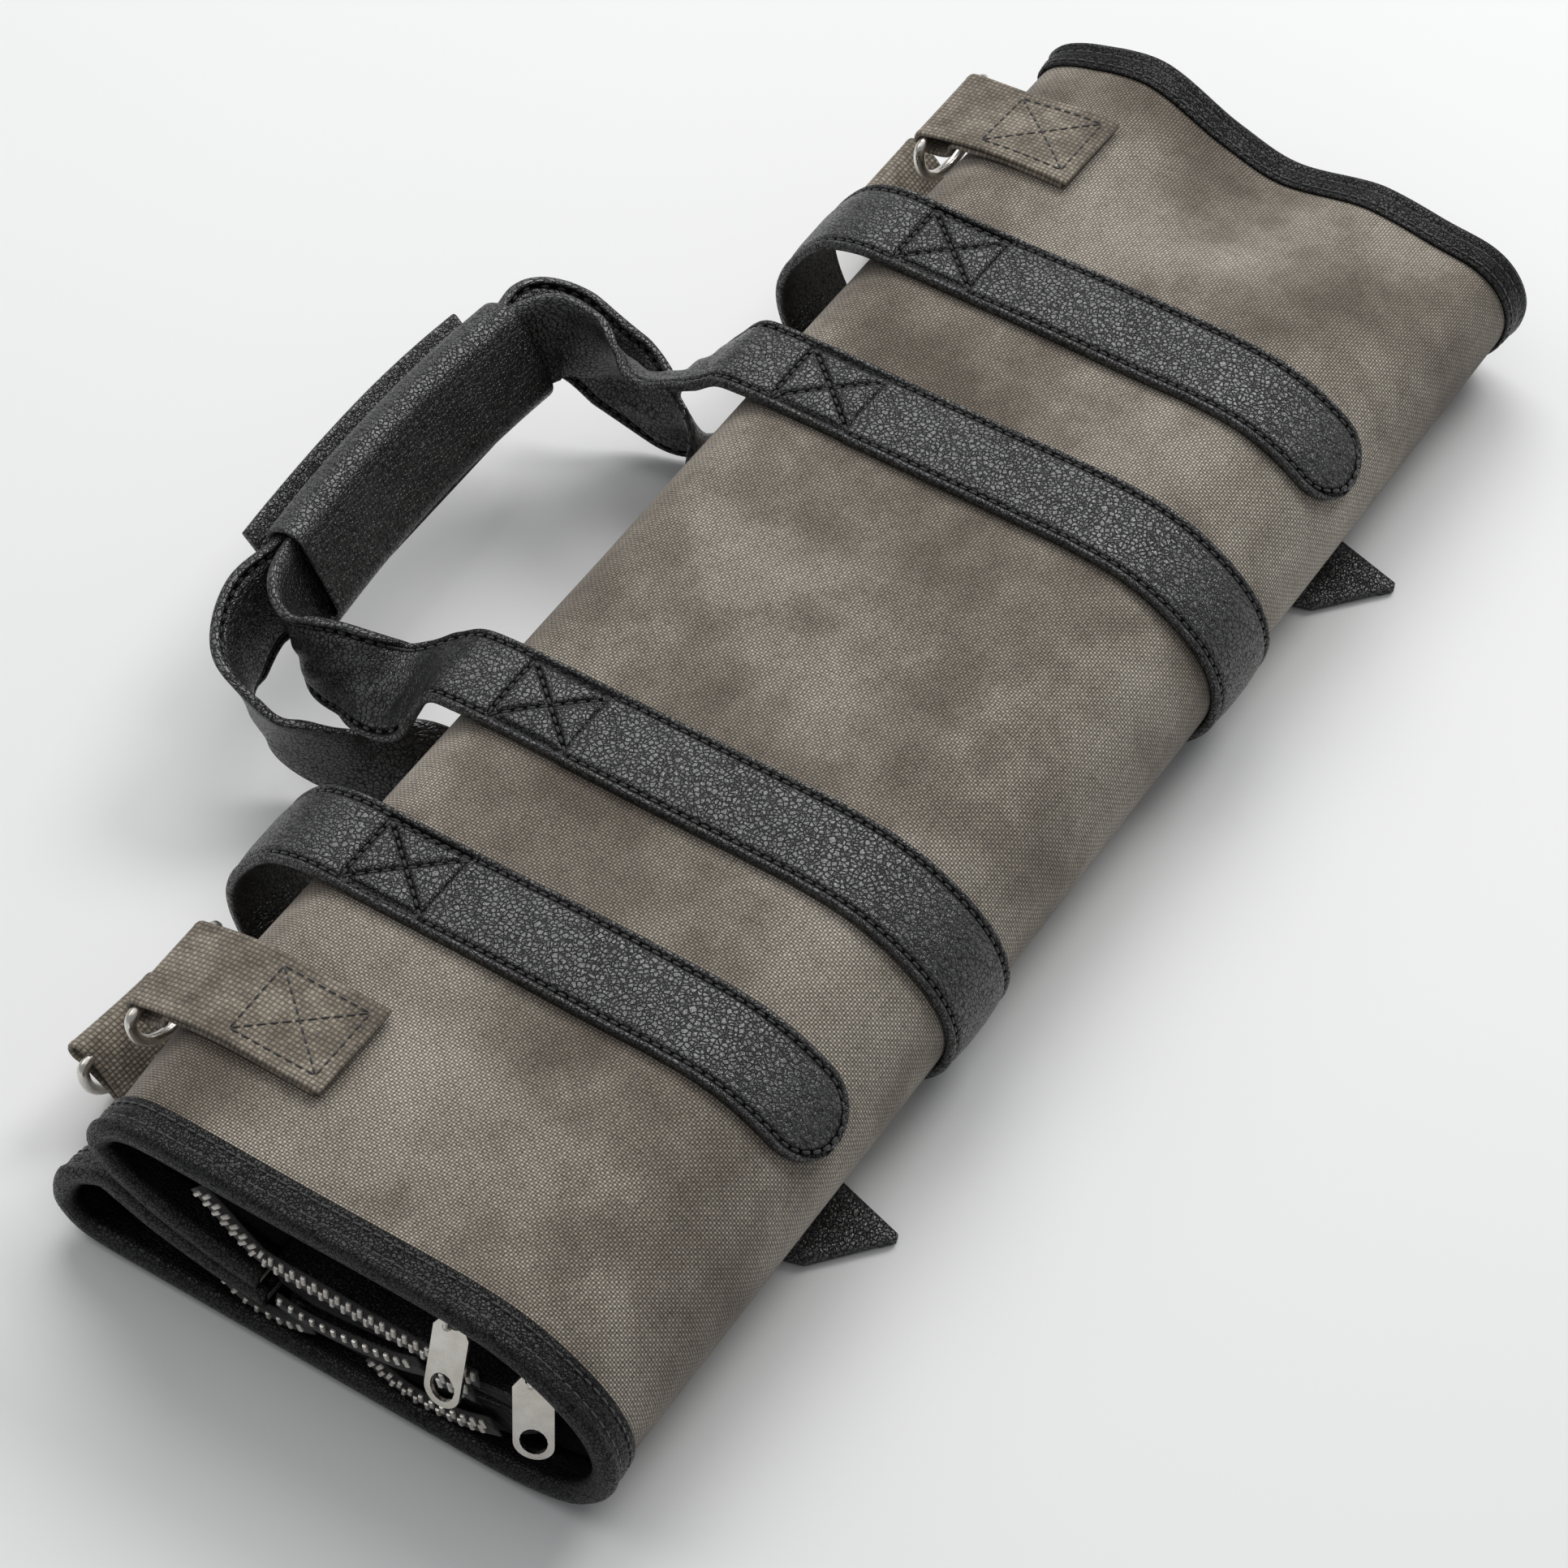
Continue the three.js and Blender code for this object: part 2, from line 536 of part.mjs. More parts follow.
// The body lies in the X-Y plane with its crown on top, and its channel and the crown's bar run along X.
function sliderSolid() {
  const plate = new THREE.Shape(roundedOutline(SLIDER.length, SLIDER.width, 2.5));
  const body = new THREE.ExtrudeGeometry(plate, { depth: SLIDER.thick, bevelEnabled: false });
  body.translate(0, 0, -SLIDER.thick);
  const channel = new THREE.BoxGeometry(SLIDER.length + 2, CHANNEL.width, CHANNEL.thick);
  channel.translate(0, 0, -SLIDER.thick / 2);
  const reach = SLIDER.length / 2 - 2.5;
  const arch = new THREE.Shape();
  arch.moveTo(-reach, -0.5);
  arch.lineTo(reach, -0.5);
  arch.absellipse(0, 0, reach, SLIDER.crown, 0, Math.PI, false);
  const eye = new THREE.Path();
  eye.absellipse(0, 0, reach - SLIDER.bar, SLIDER.crown - SLIDER.bar, 0, Math.PI, false);
  arch.holes.push(eye);
  const settings = { depth: SLIDER.crownWidth, bevelEnabled: false, curveSegments: 8 };
  const crown = new THREE.ExtrudeGeometry(arch, settings);
  crown.translate(0, 0, -SLIDER.crownWidth / 2).rotateX(Math.PI / 2);
  return join(cut(body, channel), crown);
}

// A ring in the Y-Z plane, centred on the origin.
const linkSolid = () => new THREE.TorusGeometry(LINK_RADIUS, LINK_WIRE, 8, 20).rotateY(Math.PI / 2);

// A plate in the X-Y plane that hangs along +Y from the eye at the origin, with a finger hole below.
function pullSolid() {
  const half = PULL_WIDTH / 2;
  const foot = PULL_LENGTH - half;
  const plate = new THREE.Shape();
  plate.moveTo(-half + 2.6, -EYE_RIM);
  plate.lineTo(half - 2.6, -EYE_RIM);
  plate.lineTo(half, 2.5);
  plate.absarc(0, foot, half, 0, Math.PI);
  plate.lineTo(-half, 2.5);
  const eye = new THREE.Path();
  eye.absellipse(0, 0, 2.2, 1.3, 0, Math.PI * 2);
  const hole = new THREE.Path();
  hole.absellipse(0, foot - 1, half - 1.7, 4.6, 0, Math.PI * 2);
  plate.holes.push(eye, hole);
  const settings = { depth: PULL_PLATE, bevelEnabled: false, curveSegments: 8 };
  return new THREE.ExtrudeGeometry(plate, settings).translate(0, 0, -PULL_PLATE / 2);
}

// Axes of a piece on the mouth: X along the zip, Y down and Z out of the mouth.
const MOUTH_AXES = new THREE.Matrix4().makeBasis(
  new THREE.Vector3(0, 1, 0),
  new THREE.Vector3(0, 0, -1),
  new THREE.Vector3(-1, 0, 0),
);

function mouthGroup(x, y, z) {
  const group = new THREE.Group();
  group.setRotationFromMatrix(MOUTH_AXES);
  group.position.set(x, y, z);
  roll.add(group);
  return group;
}

// The slider follows its chain's slope. Its ring goes round the crown's bar and stands out of the
// mouth, and the pull hangs from the ring's lowest point, turned by yaw and leaning out by hang.
function makeSlider(name, y, z, slope, yaw, hang) {
  const faceX = MOUTH + CHAIN_DEPTH - SLIDER.thick / 2;
  const body = mouthGroup(faceX, y, z);
  body.rotateZ(THREE.MathUtils.degToRad(-slope));
  add(`slider_${name}`, sliderSolid(), NICKEL, body);
  const link = mouthGroup(faceX - (SLIDER.crown - SLIDER.bar) / 2, y, z);
  link.rotateY(THREE.MathUtils.degToRad(yaw));
  add(`link_${name}`, linkSolid().translate(0, 0, LINK_RADIUS), NICKEL, link);
  const eye = new THREE.Group();
  eye.position.set(0, LINK_RADIUS, LINK_RADIUS);
  eye.rotation.x = THREE.MathUtils.degToRad(hang);
  link.add(eye);
  add(`pull_${name}`, pullSolid(), NICKEL, eye);
}

makePockets();
makeZips();
makeSlider("upper", -20, UPPER_ZIP_Z, 0, 0, 18);
makeSlider("spine", -43, 52, SPINE_ZIP_SLOPE, -22, 12);

export default roll;
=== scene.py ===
"""Looks of the carving tool roll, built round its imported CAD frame.

Shapes are worked out in the roll's own millimetres: X along the roll, Y from the spine (-) to the
handle (+), Z up, with X = Y = 0 on the roll's middle line. place() turns them into the CAD frame.
"""
import math

import bmesh
import bpy
import numpy as np
from mathutils import Matrix, Vector


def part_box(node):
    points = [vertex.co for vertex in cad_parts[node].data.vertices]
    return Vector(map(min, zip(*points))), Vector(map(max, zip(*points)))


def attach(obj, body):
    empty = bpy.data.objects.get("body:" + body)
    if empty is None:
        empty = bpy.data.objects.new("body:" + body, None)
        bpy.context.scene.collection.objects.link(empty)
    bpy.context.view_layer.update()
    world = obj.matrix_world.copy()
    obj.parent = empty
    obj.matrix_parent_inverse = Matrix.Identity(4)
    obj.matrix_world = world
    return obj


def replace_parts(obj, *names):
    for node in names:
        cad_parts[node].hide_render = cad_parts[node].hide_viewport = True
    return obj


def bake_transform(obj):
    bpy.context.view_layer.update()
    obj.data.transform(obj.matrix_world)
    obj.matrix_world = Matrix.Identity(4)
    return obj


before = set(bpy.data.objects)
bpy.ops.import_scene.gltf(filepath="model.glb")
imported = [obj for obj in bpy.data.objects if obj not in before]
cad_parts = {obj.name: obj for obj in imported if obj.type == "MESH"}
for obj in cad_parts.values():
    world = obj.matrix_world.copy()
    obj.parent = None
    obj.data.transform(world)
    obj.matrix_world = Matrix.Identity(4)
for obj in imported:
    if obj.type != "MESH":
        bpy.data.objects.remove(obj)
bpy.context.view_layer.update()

# ---- driving dimensions, in millimetres ----
ROLL_HALF = 246.0
PANEL_TOP = 68.0
PANEL_BOTTOM = 3.35
CANVAS = 1.6
SHELL = 3.15                 # canvas, air and lining together
GAP = 0.35
STRAP = 3.0
STRAP_WIDTH = 30.0
TOP_MIDDLE = PANEL_TOP + GAP + STRAP / 2
FLOOR_MIDDLE = STRAP / 2
CLOSURE_X = 138.0
CARRY_X = 71.0
WEBBING_X = 195.0
WEBBING_WIDTH = 31.8
WEBBING = 1.6
RING_WIRE = 1.75
HANDLE_Y = 97.5
PEEL_Y = -18.0
TOE_Y = -50.0
ENDS = {"near": -1, "far": 1}

# The roll's middle line in the CAD frame, from the pieces that stand on it.
canvas_low, canvas_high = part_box("outer_canvas")
ORIGIN_X = (canvas_low.x + canvas_high.x) * 500
ORIGIN_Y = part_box("carry_strap_near")[1].y * 1000 - HANDLE_Y


def place(points):
    """Roll millimetres to CAD metres."""
    return (np.asarray(points, float) + [ORIGIN_X, ORIGIN_Y, 0]) / 1000


# ---- curves ----
def flattened(*values):
    """The values spread to one shape, as flat arrays."""
    return (np.asarray(a, float).ravel() for a in np.broadcast_arrays(*values))


def smooth_step(low, high, value):
    t = np.clip((np.asarray(value, float) - low) / (high - low), 0, 1)
    return t * t * (3 - 2 * t)


def curve(points, step=1.5):
    """Points at even steps along a smooth line through the given points."""
    p = np.asarray(points, float)
    t = np.concatenate([[0], np.cumsum(np.linalg.norm(np.diff(p, axis=0), axis=1) ** 0.5)])
    slope = np.diff(p, axis=0) / np.diff(t)[:, None]
    tangent = np.vstack([slope[:1], slope[-1:]])
    if len(p) > 2:
        before, after = np.diff(t)[:-1, None], np.diff(t)[1:, None]
        middle = (slope[:-1] * after + slope[1:] * before) / (before + after)
        tangent = np.vstack([slope[:1], middle, slope[-1:]])
    fine = []
    for i in range(len(p) - 1):
        h, s = t[i + 1] - t[i], np.linspace(0, 1, 24, endpoint=False)[:, None]
        fine.append((1 + 2 * s) * (1 - s) ** 2 * p[i] + s * (1 - s) ** 2 * h * tangent[i]
                    + s * s * (3 - 2 * s) * p[i + 1] + s * s * (s - 1) * h * tangent[i + 1])
    fine = np.vstack([*fine, p[-1:]])
    run = np.concatenate([[0], np.cumsum(np.linalg.norm(np.diff(fine, axis=0), axis=1))])
    at = np.linspace(0, run[-1], max(2, int(round(run[-1] / step)) + 1))
    return np.column_stack([np.interp(at, run, fine[:, k]) for k in range(p.shape[1])])


def clamp_heights(path, low, high):
    path = path.copy()
    path[:, -1] = np.clip(path[:, -1], low, high)
    return path


def unit(v):
    return v / np.maximum(np.linalg.norm(v, axis=-1, keepdims=True), 1e-9)


# ---- how the soft roll gives ----
# How far the empty far end hangs down, by Y.
FAR_DROOP = curve([
    (-80, 0), (-62, 3), (-42, 11), (-19, 13.5), (9, 18), (29, 11.5), (56, 1.4), (84, 5.5), (105, 1),
], 1)


def settle(p):
    """Moves points of the roll from the ideal shape to the soft one."""
    p = np.array(p, float)
    x, y, z = p[:, 0].copy(), p[:, 1].copy(), p[:, 2].copy()
    high = smooth_step(12, 62, z)
    far = smooth_step(158, ROLL_HALF - 2, x)
    p[:, 2] -= high * far * np.interp(y, FAR_DROOP[:, 0], FAR_DROOP[:, 1])
    # The far rim draws back in a slow wave.
    p[:, 0] += high * smooth_step(214, ROLL_HALF, x) * (-2.6 + 0.9 * np.sin(y / 12.5 + 2.2))
    # At the near end the lower lobe stands out past the upper one.
    low_lobe = smooth_step(50, 95, y) * (1 - smooth_step(26, 40, z))
    p[:, 1] += low_lobe * smooth_step(-170, -ROLL_HALF, x) * 6.5
    top_lobe = smooth_step(50, 95, y) * smooth_step(40, 50, z)
    p[:, 1] -= top_lobe * smooth_step(-205, -ROLL_HALF, x) * 2.0
    # Shallow dents all over the top.
    dent = np.sin(x / 23 + 1.3 * np.sin(y / 31)) * np.sin(y / 19 + 0.8) + 0.6 * np.sin(x / 11 + y / 17)
    p[:, 2] += 0.30 * high * dent
    return p


class Ribbon:
    """A strip's middle line with its frame. Flat coordinates are across, along and height."""

    def __init__(self, line, sides=None, flip=False, give=True):
        self.line = np.asarray(line, float)
        along = unit(np.gradient(self.line, axis=0))
        sides = np.tile([1.0, 0, 0], (len(self.line), 1)) if sides is None else sides
        self.sides = unit(sides - along * np.sum(sides * along, axis=1, keepdims=True))
        self.outs = np.cross(along, self.sides) * (-1 if flip else 1)
        steps = np.linalg.norm(np.diff(self.line, axis=0), axis=1)
        self.run = np.concatenate([[0], np.cumsum(steps)])
        self.length = self.run[-1]
        self.give = give

    def pick(self, values, v):
        return np.column_stack([np.interp(v, self.run, values[:, k]) for k in range(3)])

    def point(self, u, v, w):
        u, v, w = flattened(u, v, w)
        flat = self.pick(self.line, v) + u[:, None] * self.pick(self.sides, v)
        beyond = np.where(v > self.length, v - self.length, np.where(v < 0, v, 0))
        if np.any(beyond):
            ends = np.where(v[:, None] > 0, self.line[-1] - self.line[-2], self.line[1] - self.line[0])
            flat += unit(ends) * beyond[:, None]
        p = flat + w[:, None] * unit(self.pick(self.outs, v))
        return settle(p) if self.give else p


def in_plane(x, path):
    """A path of [y, z] rows at one X."""
    path = np.asarray(path, float)
    return np.column_stack([np.full(len(path), float(x)), path])


# ---- meshes ----
def mesh_piece(name, points, faces, flat, skin, smooth=True):
    """A piece in the CAD frame. flat keeps each point's flat coordinates in millimetres for the finish."""
    data = bpy.data.meshes.new(name)
    data.from_pydata(place(points).tolist(), [], faces)
    data.validate()
    store = data.attributes.new("flat", "FLOAT_VECTOR", "POINT")
    store.data.foreach_set("vector", np.asarray(flat, np.float32).ravel())
    data.polygons.foreach_set("use_smooth", [smooth] * len(data.polygons))
    piece = bpy.data.objects.new(name, data)
    bpy.context.scene.collection.objects.link(piece)
    data.materials.append(skin[0])
    return piece


def fit_on(piece, body, node):
    """Turns a closed piece's faces out, and lets it ride a body in a CAD node's place."""
    work = bmesh.new()
    work.from_mesh(piece.data)
    bmesh.ops.recalc_face_normals(work, faces=work.faces)
    work.to_mesh(piece.data)
    work.free()
    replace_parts(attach(piece, body), node)


def ring_faces(rows, columns, closed_ends=True):
    """Quads between rings of points, and one face over each end."""
    faces = []
    for i in range(rows - 1):
        a, b = i * columns, (i + 1) * columns
        faces += [(a + k, a + (k + 1) % columns, b + (k + 1) % columns, b + k) for k in range(columns)]
    if closed_ends:
        faces.append(tuple(reversed(range(columns))))
        faces.append(tuple(range((rows - 1) * columns, rows * columns)))
    return faces


def loop_faces(rows, columns):
    """Quads between rings of points that run round to the first ring again."""
    last = (rows - 1) * columns
    faces = ring_faces(rows, columns, closed_ends=False)
    return faces + [(last + k, last + (k + 1) % columns, (k + 1) % columns, k) for k in range(columns)]


def turned_out(points, faces):
    """The same faces, turned so that they face out of the closed shape."""
    p = np.asarray(points, float)
    p = p - p.mean(0)
    volume = 0.0
    for f in faces:
        for k in range(1, len(f) - 1):
            volume += np.dot(p[f[0]], np.cross(p[f[k]], p[f[k + 1]]))
    return faces if volume > 0 else [tuple(reversed(f)) for f in faces]


def sweep(name, ribbon, section, skin, v=None):
    """A closed section [across, height] swept along a ribbon."""
    v = ribbon.run if v is None else v
    section = np.asarray(section, float)
    u, w = np.tile(section[:, 0], len(v)), np.tile(section[:, 1], len(v))
    along = np.repeat(v, len(section))
    points = ribbon.point(u, along, w)
    faces = turned_out(points, ring_faces(len(v), len(section)))
    return mesh_piece(name, points, faces, np.column_stack([u, along, w]), skin)


def capsule():
    """A stitch of length 1 along X, unit thickness, as points and faces."""
    rings = [(-0.5, 0.0), (-0.4, 0.36), (0, 0.5), (0.4, 0.36), (0.5, 0.0)]
    points, sides = [], 6
    for x, r in rings:
        turns = np.arange(sides) * 2 * math.pi / sides
        points += [(x, r * math.cos(t), r * math.sin(t)) for t in turns]
    return np.array(points), ring_faces(len(rings), sides)


STITCH_POINTS, STITCH_FACES = capsule()
STITCH_PITCH, STITCH_SHARE = 3.3, 0.78


def thread_marks(lines):
    """Middle and direction of each stitch on polylines of [across, along] points."""
    marks = []
    for line in lines:
        line = np.asarray(line, float)
        run = np.concatenate([[0], np.cumsum(np.linalg.norm(np.diff(line, axis=0), axis=1))])
        count = max(1, int(run[-1] / STITCH_PITCH))
        at = (np.arange(count) + 0.5) * run[-1] / count
        middle = np.column_stack([np.interp(at, run, line[:, k]) for k in range(2)])
        ahead = np.column_stack([np.interp(at + 0.3, run, line[:, k]) for k in range(2)])
        behind = np.column_stack([np.interp(at - 0.3, run, line[:, k]) for k in range(2)])
        marks.append(np.column_stack([middle, unit(ahead - behind)]))
    return np.vstack(marks)


def stitch_row(name, ribbon, lines, height, skin, thick):
    """Stitches as real pieces of thread, laid on the ribbon along lines of flat coordinates."""
    marks = thread_marks(lines)
    u, v = marks[:, 0], marks[:, 1]
    w = height(u, v)
    at = ribbon.point(u, v, w)
    u_next, v_next = u + marks[:, 2], v + marks[:, 3]
    along = unit(ribbon.point(u_next, v_next, height(u_next, v_next)) - at)
    out = unit(ribbon.point(u, v, w + 1) - at)
    side = unit(np.cross(out, along))
    size = np.array([STITCH_PITCH * STITCH_SHARE, thick, thick * 0.7])
    local = STITCH_POINTS * size
    points = (at[:, None] + local[None, :, 0:1] * along[:, None] + local[None, :, 1:2] * side[:, None]
              + local[None, :, 2:3] * out[:, None]).reshape(-1, 3)
    n = len(STITCH_POINTS)
    faces = [tuple(i * n + k for k in f) for i in range(len(at)) for f in STITCH_FACES]
    flat = np.tile(local, (len(at), 1)) + np.repeat(np.column_stack([u, v, w]), n, axis=0)
    return mesh_piece(name, points, faces, flat, skin)


# ---- materials ----
class Finish:
    """A node material on one Principled shader."""

    def __init__(self, name, roughness, metallic=0.0, **settings):
        self.material = bpy.data.materials.new(name)
        self.material.use_nodes = True
        self.tree = self.material.node_tree
        self.shader = self.tree.nodes["Principled BSDF"]
        self.shader.inputs["Roughness"].default_value = roughness
        self.shader.inputs["Metallic"].default_value = metallic
        for key, value in settings.items():
            self.shader.inputs[key.replace("_", " ")].default_value = value

    def node(self, kind, **values):
        """Adds a node. Text is a setting, and the rest feeds inputs by name, or by place as i0, i1..."""
        made = self.tree.nodes.new("ShaderNode" + kind)
        settings = {key: value for key, value in values.items() if isinstance(value, str)}
        for key, value in settings.items():
            setattr(made, key, value)
        for key, value in values.items():
            if key in settings:
                continue
            socket = made.inputs[int(key[1:]) if key[0] == "i" else key]
            if isinstance(value, bpy.types.NodeSocket):
                self.tree.links.new(value, socket)
            else:
                socket.default_value = value
        return made

    def math(self, operation, a, b=0.0, c=0.0):
        return self.node("Math", operation=operation, i0=a, i1=b, i2=c).outputs[0]

    def attribute(self, name, output):
        return self.node("Attribute", attribute_name=name).outputs[output]

    def flat(self):
        return self.attribute("flat", "Vector")

    def pushed(self, vector, push, amounts):
        return self.node("VectorMath", operation="MULTIPLY_ADD", i0=push, i1=amounts, i2=vector).outputs[0]

    def choose(self, share, first, second):
        return self.node("Mix", data_type="FLOAT", i0=share, i2=first, i3=second).outputs[0]

    def cells(self, vector, scale):
        made = self.node("TexVoronoi", feature="DISTANCE_TO_EDGE", Vector=vector, Scale=scale)
        return made.outputs["Distance"]

    def stretched(self, vector, scale):
        return self.node("Mapping", Vector=vector, Scale=scale).outputs[0]

    def noise(self, vector, scale, detail=2.0, rough=0.5, distort=0.0):
        return self.node("TexNoise", Vector=vector, Scale=scale, Detail=detail, Roughness=rough,
                         Distortion=distort).outputs["Fac"]

    def ramp(self, value, low, high, start=0.0, end=1.0):
        return self.node("MapRange", Value=value, i1=start, i2=end, i3=low, i4=high).outputs[0]

    def blend(self, share, first, second):
        return self.node("Mix", data_type="RGBA", i0=share, i6=first, i7=second).outputs[2]

    def drive(self, socket, value):
        self.tree.links.new(value, self.shader.inputs[socket])

    def bump(self, height, distance, strength=1.0):
        made = self.node("Bump", Height=height, Distance=distance, Strength=strength)
        self.drive("Normal", made.outputs[0])


def grey(level, warm=1.0):
    return (level * warm, level, level / warm, 1)


def woven(finish, pitch, tones, wear_scale, contrast):
    """A plain weave of the given pitch, worn in soft blotches, with slubs in its threads, and painted shade
    that darkens its lower threads and the gaps between them.
    """
    dark, middle, light = tones
    flat = finish.flat()
    waver = finish.node("TexNoise", Vector=flat, Scale=0.30, Detail=2.0).outputs["Color"]
    shift = finish.pushed(flat, waver, (0.6, 0.6, 0))
    split = finish.node("SeparateXYZ", Vector=shift)
    wave_u = finish.math("SINE", finish.math("MULTIPLY", split.outputs[0], math.pi / pitch))
    wave_v = finish.math("SINE", finish.math("MULTIPLY", split.outputs[1], math.pi / pitch))
    across, along = finish.math("ABSOLUTE", wave_u), finish.math("ABSOLUTE", wave_v)
    over = finish.ramp(finish.math("MULTIPLY", wave_u, wave_v), 0, 1, -0.12, 0.12)
    mound = finish.math("MULTIPLY", finish.math("POWER", across, 0.7), finish.math("POWER", along, 0.7))
    warp_slub = finish.noise(finish.stretched(flat, (0.9 / pitch, 0.12, 1)), 1.0, 2.0, 0.6)
    weft_slub = finish.noise(finish.stretched(flat, (0.12, 0.9 / pitch, 1)), 1.0, 2.0, 0.6)
    slub = finish.choose(over, weft_slub, warp_slub)
    level = finish.choose(over, finish.math("MULTIPLY", mound, 0.62), mound)
    height = finish.math("MULTIPLY", level, finish.ramp(slub, 0.75, 1.2, 0.3, 0.7))
    wide = finish.noise(flat, wear_scale, 2.0, 0.5, 0.3)
    small = finish.noise(flat, wear_scale * 5, 3.0, 0.6)
    worn = finish.math("ADD", finish.math("MULTIPLY", wide, 0.7), finish.math("MULTIPLY", small, 0.3))
    base = finish.blend(finish.ramp(worn, 0, 1, 0.38, 0.53), dark, middle)
    base = finish.blend(finish.ramp(worn, 0, 0.95, 0.50, 0.66), base, light)
    grain = finish.noise(flat, 0.55 / pitch, 3.0, 0.7)
    # Painted shade: the colour darkens with the weave's height, in the gaps and on the lower threads, with
    # fine random grain added to it.
    gap_shade_and_grain = finish.math("ADD", finish.ramp(height, 1 - 0.72 * contrast, 1 + 0.42 * contrast, 0.05, 0.85),
                       finish.ramp(grain, -0.16, 0.16, 0.3, 0.7))
    tone = finish.node("CombineColor", Red=gap_shade_and_grain, Green=gap_shade_and_grain, Blue=gap_shade_and_grain).outputs[0]
    base = finish.node("VectorMath", operation="MULTIPLY", i0=base, i1=tone).outputs[0]
    finish.drive("Base Color", base)
    finish.bump(height, pitch * 0.0003, 0.8)
    finish.drive("Roughness", finish.ramp(worn, 0.92, 0.72, 0.3, 0.7))


# Worn, usual and scuffed tones.
CANVAS_TONES = (0.128, 0.102, 0.076, 1), (0.248, 0.213, 0.169, 1), (0.385, 0.343, 0.285, 1)
WEBBING_TONES = (0.115, 0.094, 0.070, 1), (0.205, 0.173, 0.132, 1), (0.285, 0.247, 0.196, 1)


def canvas_finish():
    finish = Finish("canvas", 0.85, Sheen_Weight=0.12, Sheen_Roughness=0.5)
    woven(finish, 0.88, CANVAS_TONES, 0.0125, 1.3)
    return finish.material


def webbing_finish():
    finish = Finish("webbing", 0.9, Sheen_Weight=0.1)
    woven(finish, 1.45, WEBBING_TONES, 0.05, 0.8)
    return finish.material


def lining_finish(name="lining", level=0.006):
    finish = Finish(name, 0.85, Sheen_Weight=0.15)
    woven(finish, 0.8, (grey(level * 0.6), grey(level), grey(level * 1.8)), 0.04, 0.6)
    return finish.material


def leather_finish(name="leather", vector=None, grain=1.0, level=0.0048, shine=0.28, gloss=1.1):
    """Pebbled leather: closed cells with fine creases between them, painted shade in the creases and painted
    highlight on the pebble tops, and a soft uneven sheen.
    """
    finish = Finish(name, shine)
    flat = finish.flat() if vector is None else vector(finish)
    warp = finish.node("TexNoise", Vector=flat, Scale=0.5, Detail=3.0).outputs["Color"]
    bent = finish.pushed(flat, warp, (1.6, 1.6, 1.6))
    pebble = finish.ramp(finish.cells(bent, 0.70 / grain), 0, 1, 0.0, 0.17)
    small = finish.ramp(finish.cells(bent, 1.7 / grain), 0, 1, 0.0, 0.3)
    patch = finish.noise(flat, 0.045, 3.0, 0.55)
    height = finish.math("ADD", finish.math("MULTIPLY", pebble, 0.75), finish.math("MULTIPLY", small, 0.25))
    # Painted shade and highlight: the colour is darker in the creases between pebbles and lighter on their
    # tops.
    base = finish.blend(finish.ramp(height, 0, 1, 0.15, 0.95), grey(level * 0.45), grey(level * 1.3, 1.02))
    base = finish.blend(finish.ramp(patch, 0, 0.5, 0.42, 0.7), base, grey(level * 1.9))
    finish.drive("Base Color", base)
    worn = finish.ramp(patch, -0.05, 0.08, 0.3, 0.7)
    in_creases = finish.ramp(height, min(shine + 0.30, 0.85), shine, 0.10, 0.6)
    finish.drive("Roughness", finish.math("ADD", worn, in_creases))
    finish.bump(height, 0.00022 * grain, 1.0)
    on_pebbles = finish.ramp(height, 0.22 * gloss, gloss, 0.2, 0.85)
    sheen = finish.math("MULTIPLY", on_pebbles, finish.ramp(patch, 0.9, 1.3, 0.3, 0.7))
    off_seams = finish.ramp(finish.attribute("seam", "Fac"), 1.0, 0.0, 0.15, 0.75)
    finish.drive("Specular IOR Level", finish.math("MULTIPLY", sheen, off_seams))
    return finish.material


def metal_finish(name="nickel", vector=None, shine=0.24, metallic=1.0):
    """Satin nickel plate with fine rub marks and a slight warm bloom."""
    finish = Finish(name, shine, metallic)
    flat = finish.flat() if vector is None else vector(finish)
    rub = finish.noise(finish.stretched(flat, (0.25, 2.6, 2.6)), 1.4, 3.0, 0.6)
    bloom = finish.noise(flat, 0.12, 2.0)
    share = finish.ramp(bloom, 0, 1, 0.35, 0.65)
    finish.drive("Base Color", finish.blend(share, (0.60, 0.565, 0.51, 1), (0.74, 0.715, 0.67, 1)))
    finish.drive("Roughness", finish.math("ADD", finish.ramp(rub, -0.07, 0.12, 0.3, 0.7), shine))
    finish.bump(rub, 0.00002, 0.5)
    return finish.material


def thread_finish(name, level, warm=1.0):
    finish = Finish(name, 0.6, Sheen_Weight=0.3)
    split = finish.node("SeparateXYZ", Vector=finish.flat())
    slope = finish.math("ADD", split.outputs[0], split.outputs[1])
    turn = finish.math("SINE", finish.math("MULTIPLY", slope, 9.0))
    # Painted shade and highlight: the colour runs darker in the twist's grooves and lighter on its ridges.
    share = finish.ramp(turn, 0, 1, -1, 1)
    finish.drive("Base Color", finish.blend(share, grey(level * 0.6, warm), grey(level * 1.5, warm)))
    finish.bump(turn, 0.00006, 0.6)
    return finish.material


def object_millimetres(finish):
    """Flat coordinates for a CAD node, which has none of its own."""
    place_in = finish.node("TexCoord").outputs["Object"]
    return finish.stretched(place_in, (1000, 1000, 1000))


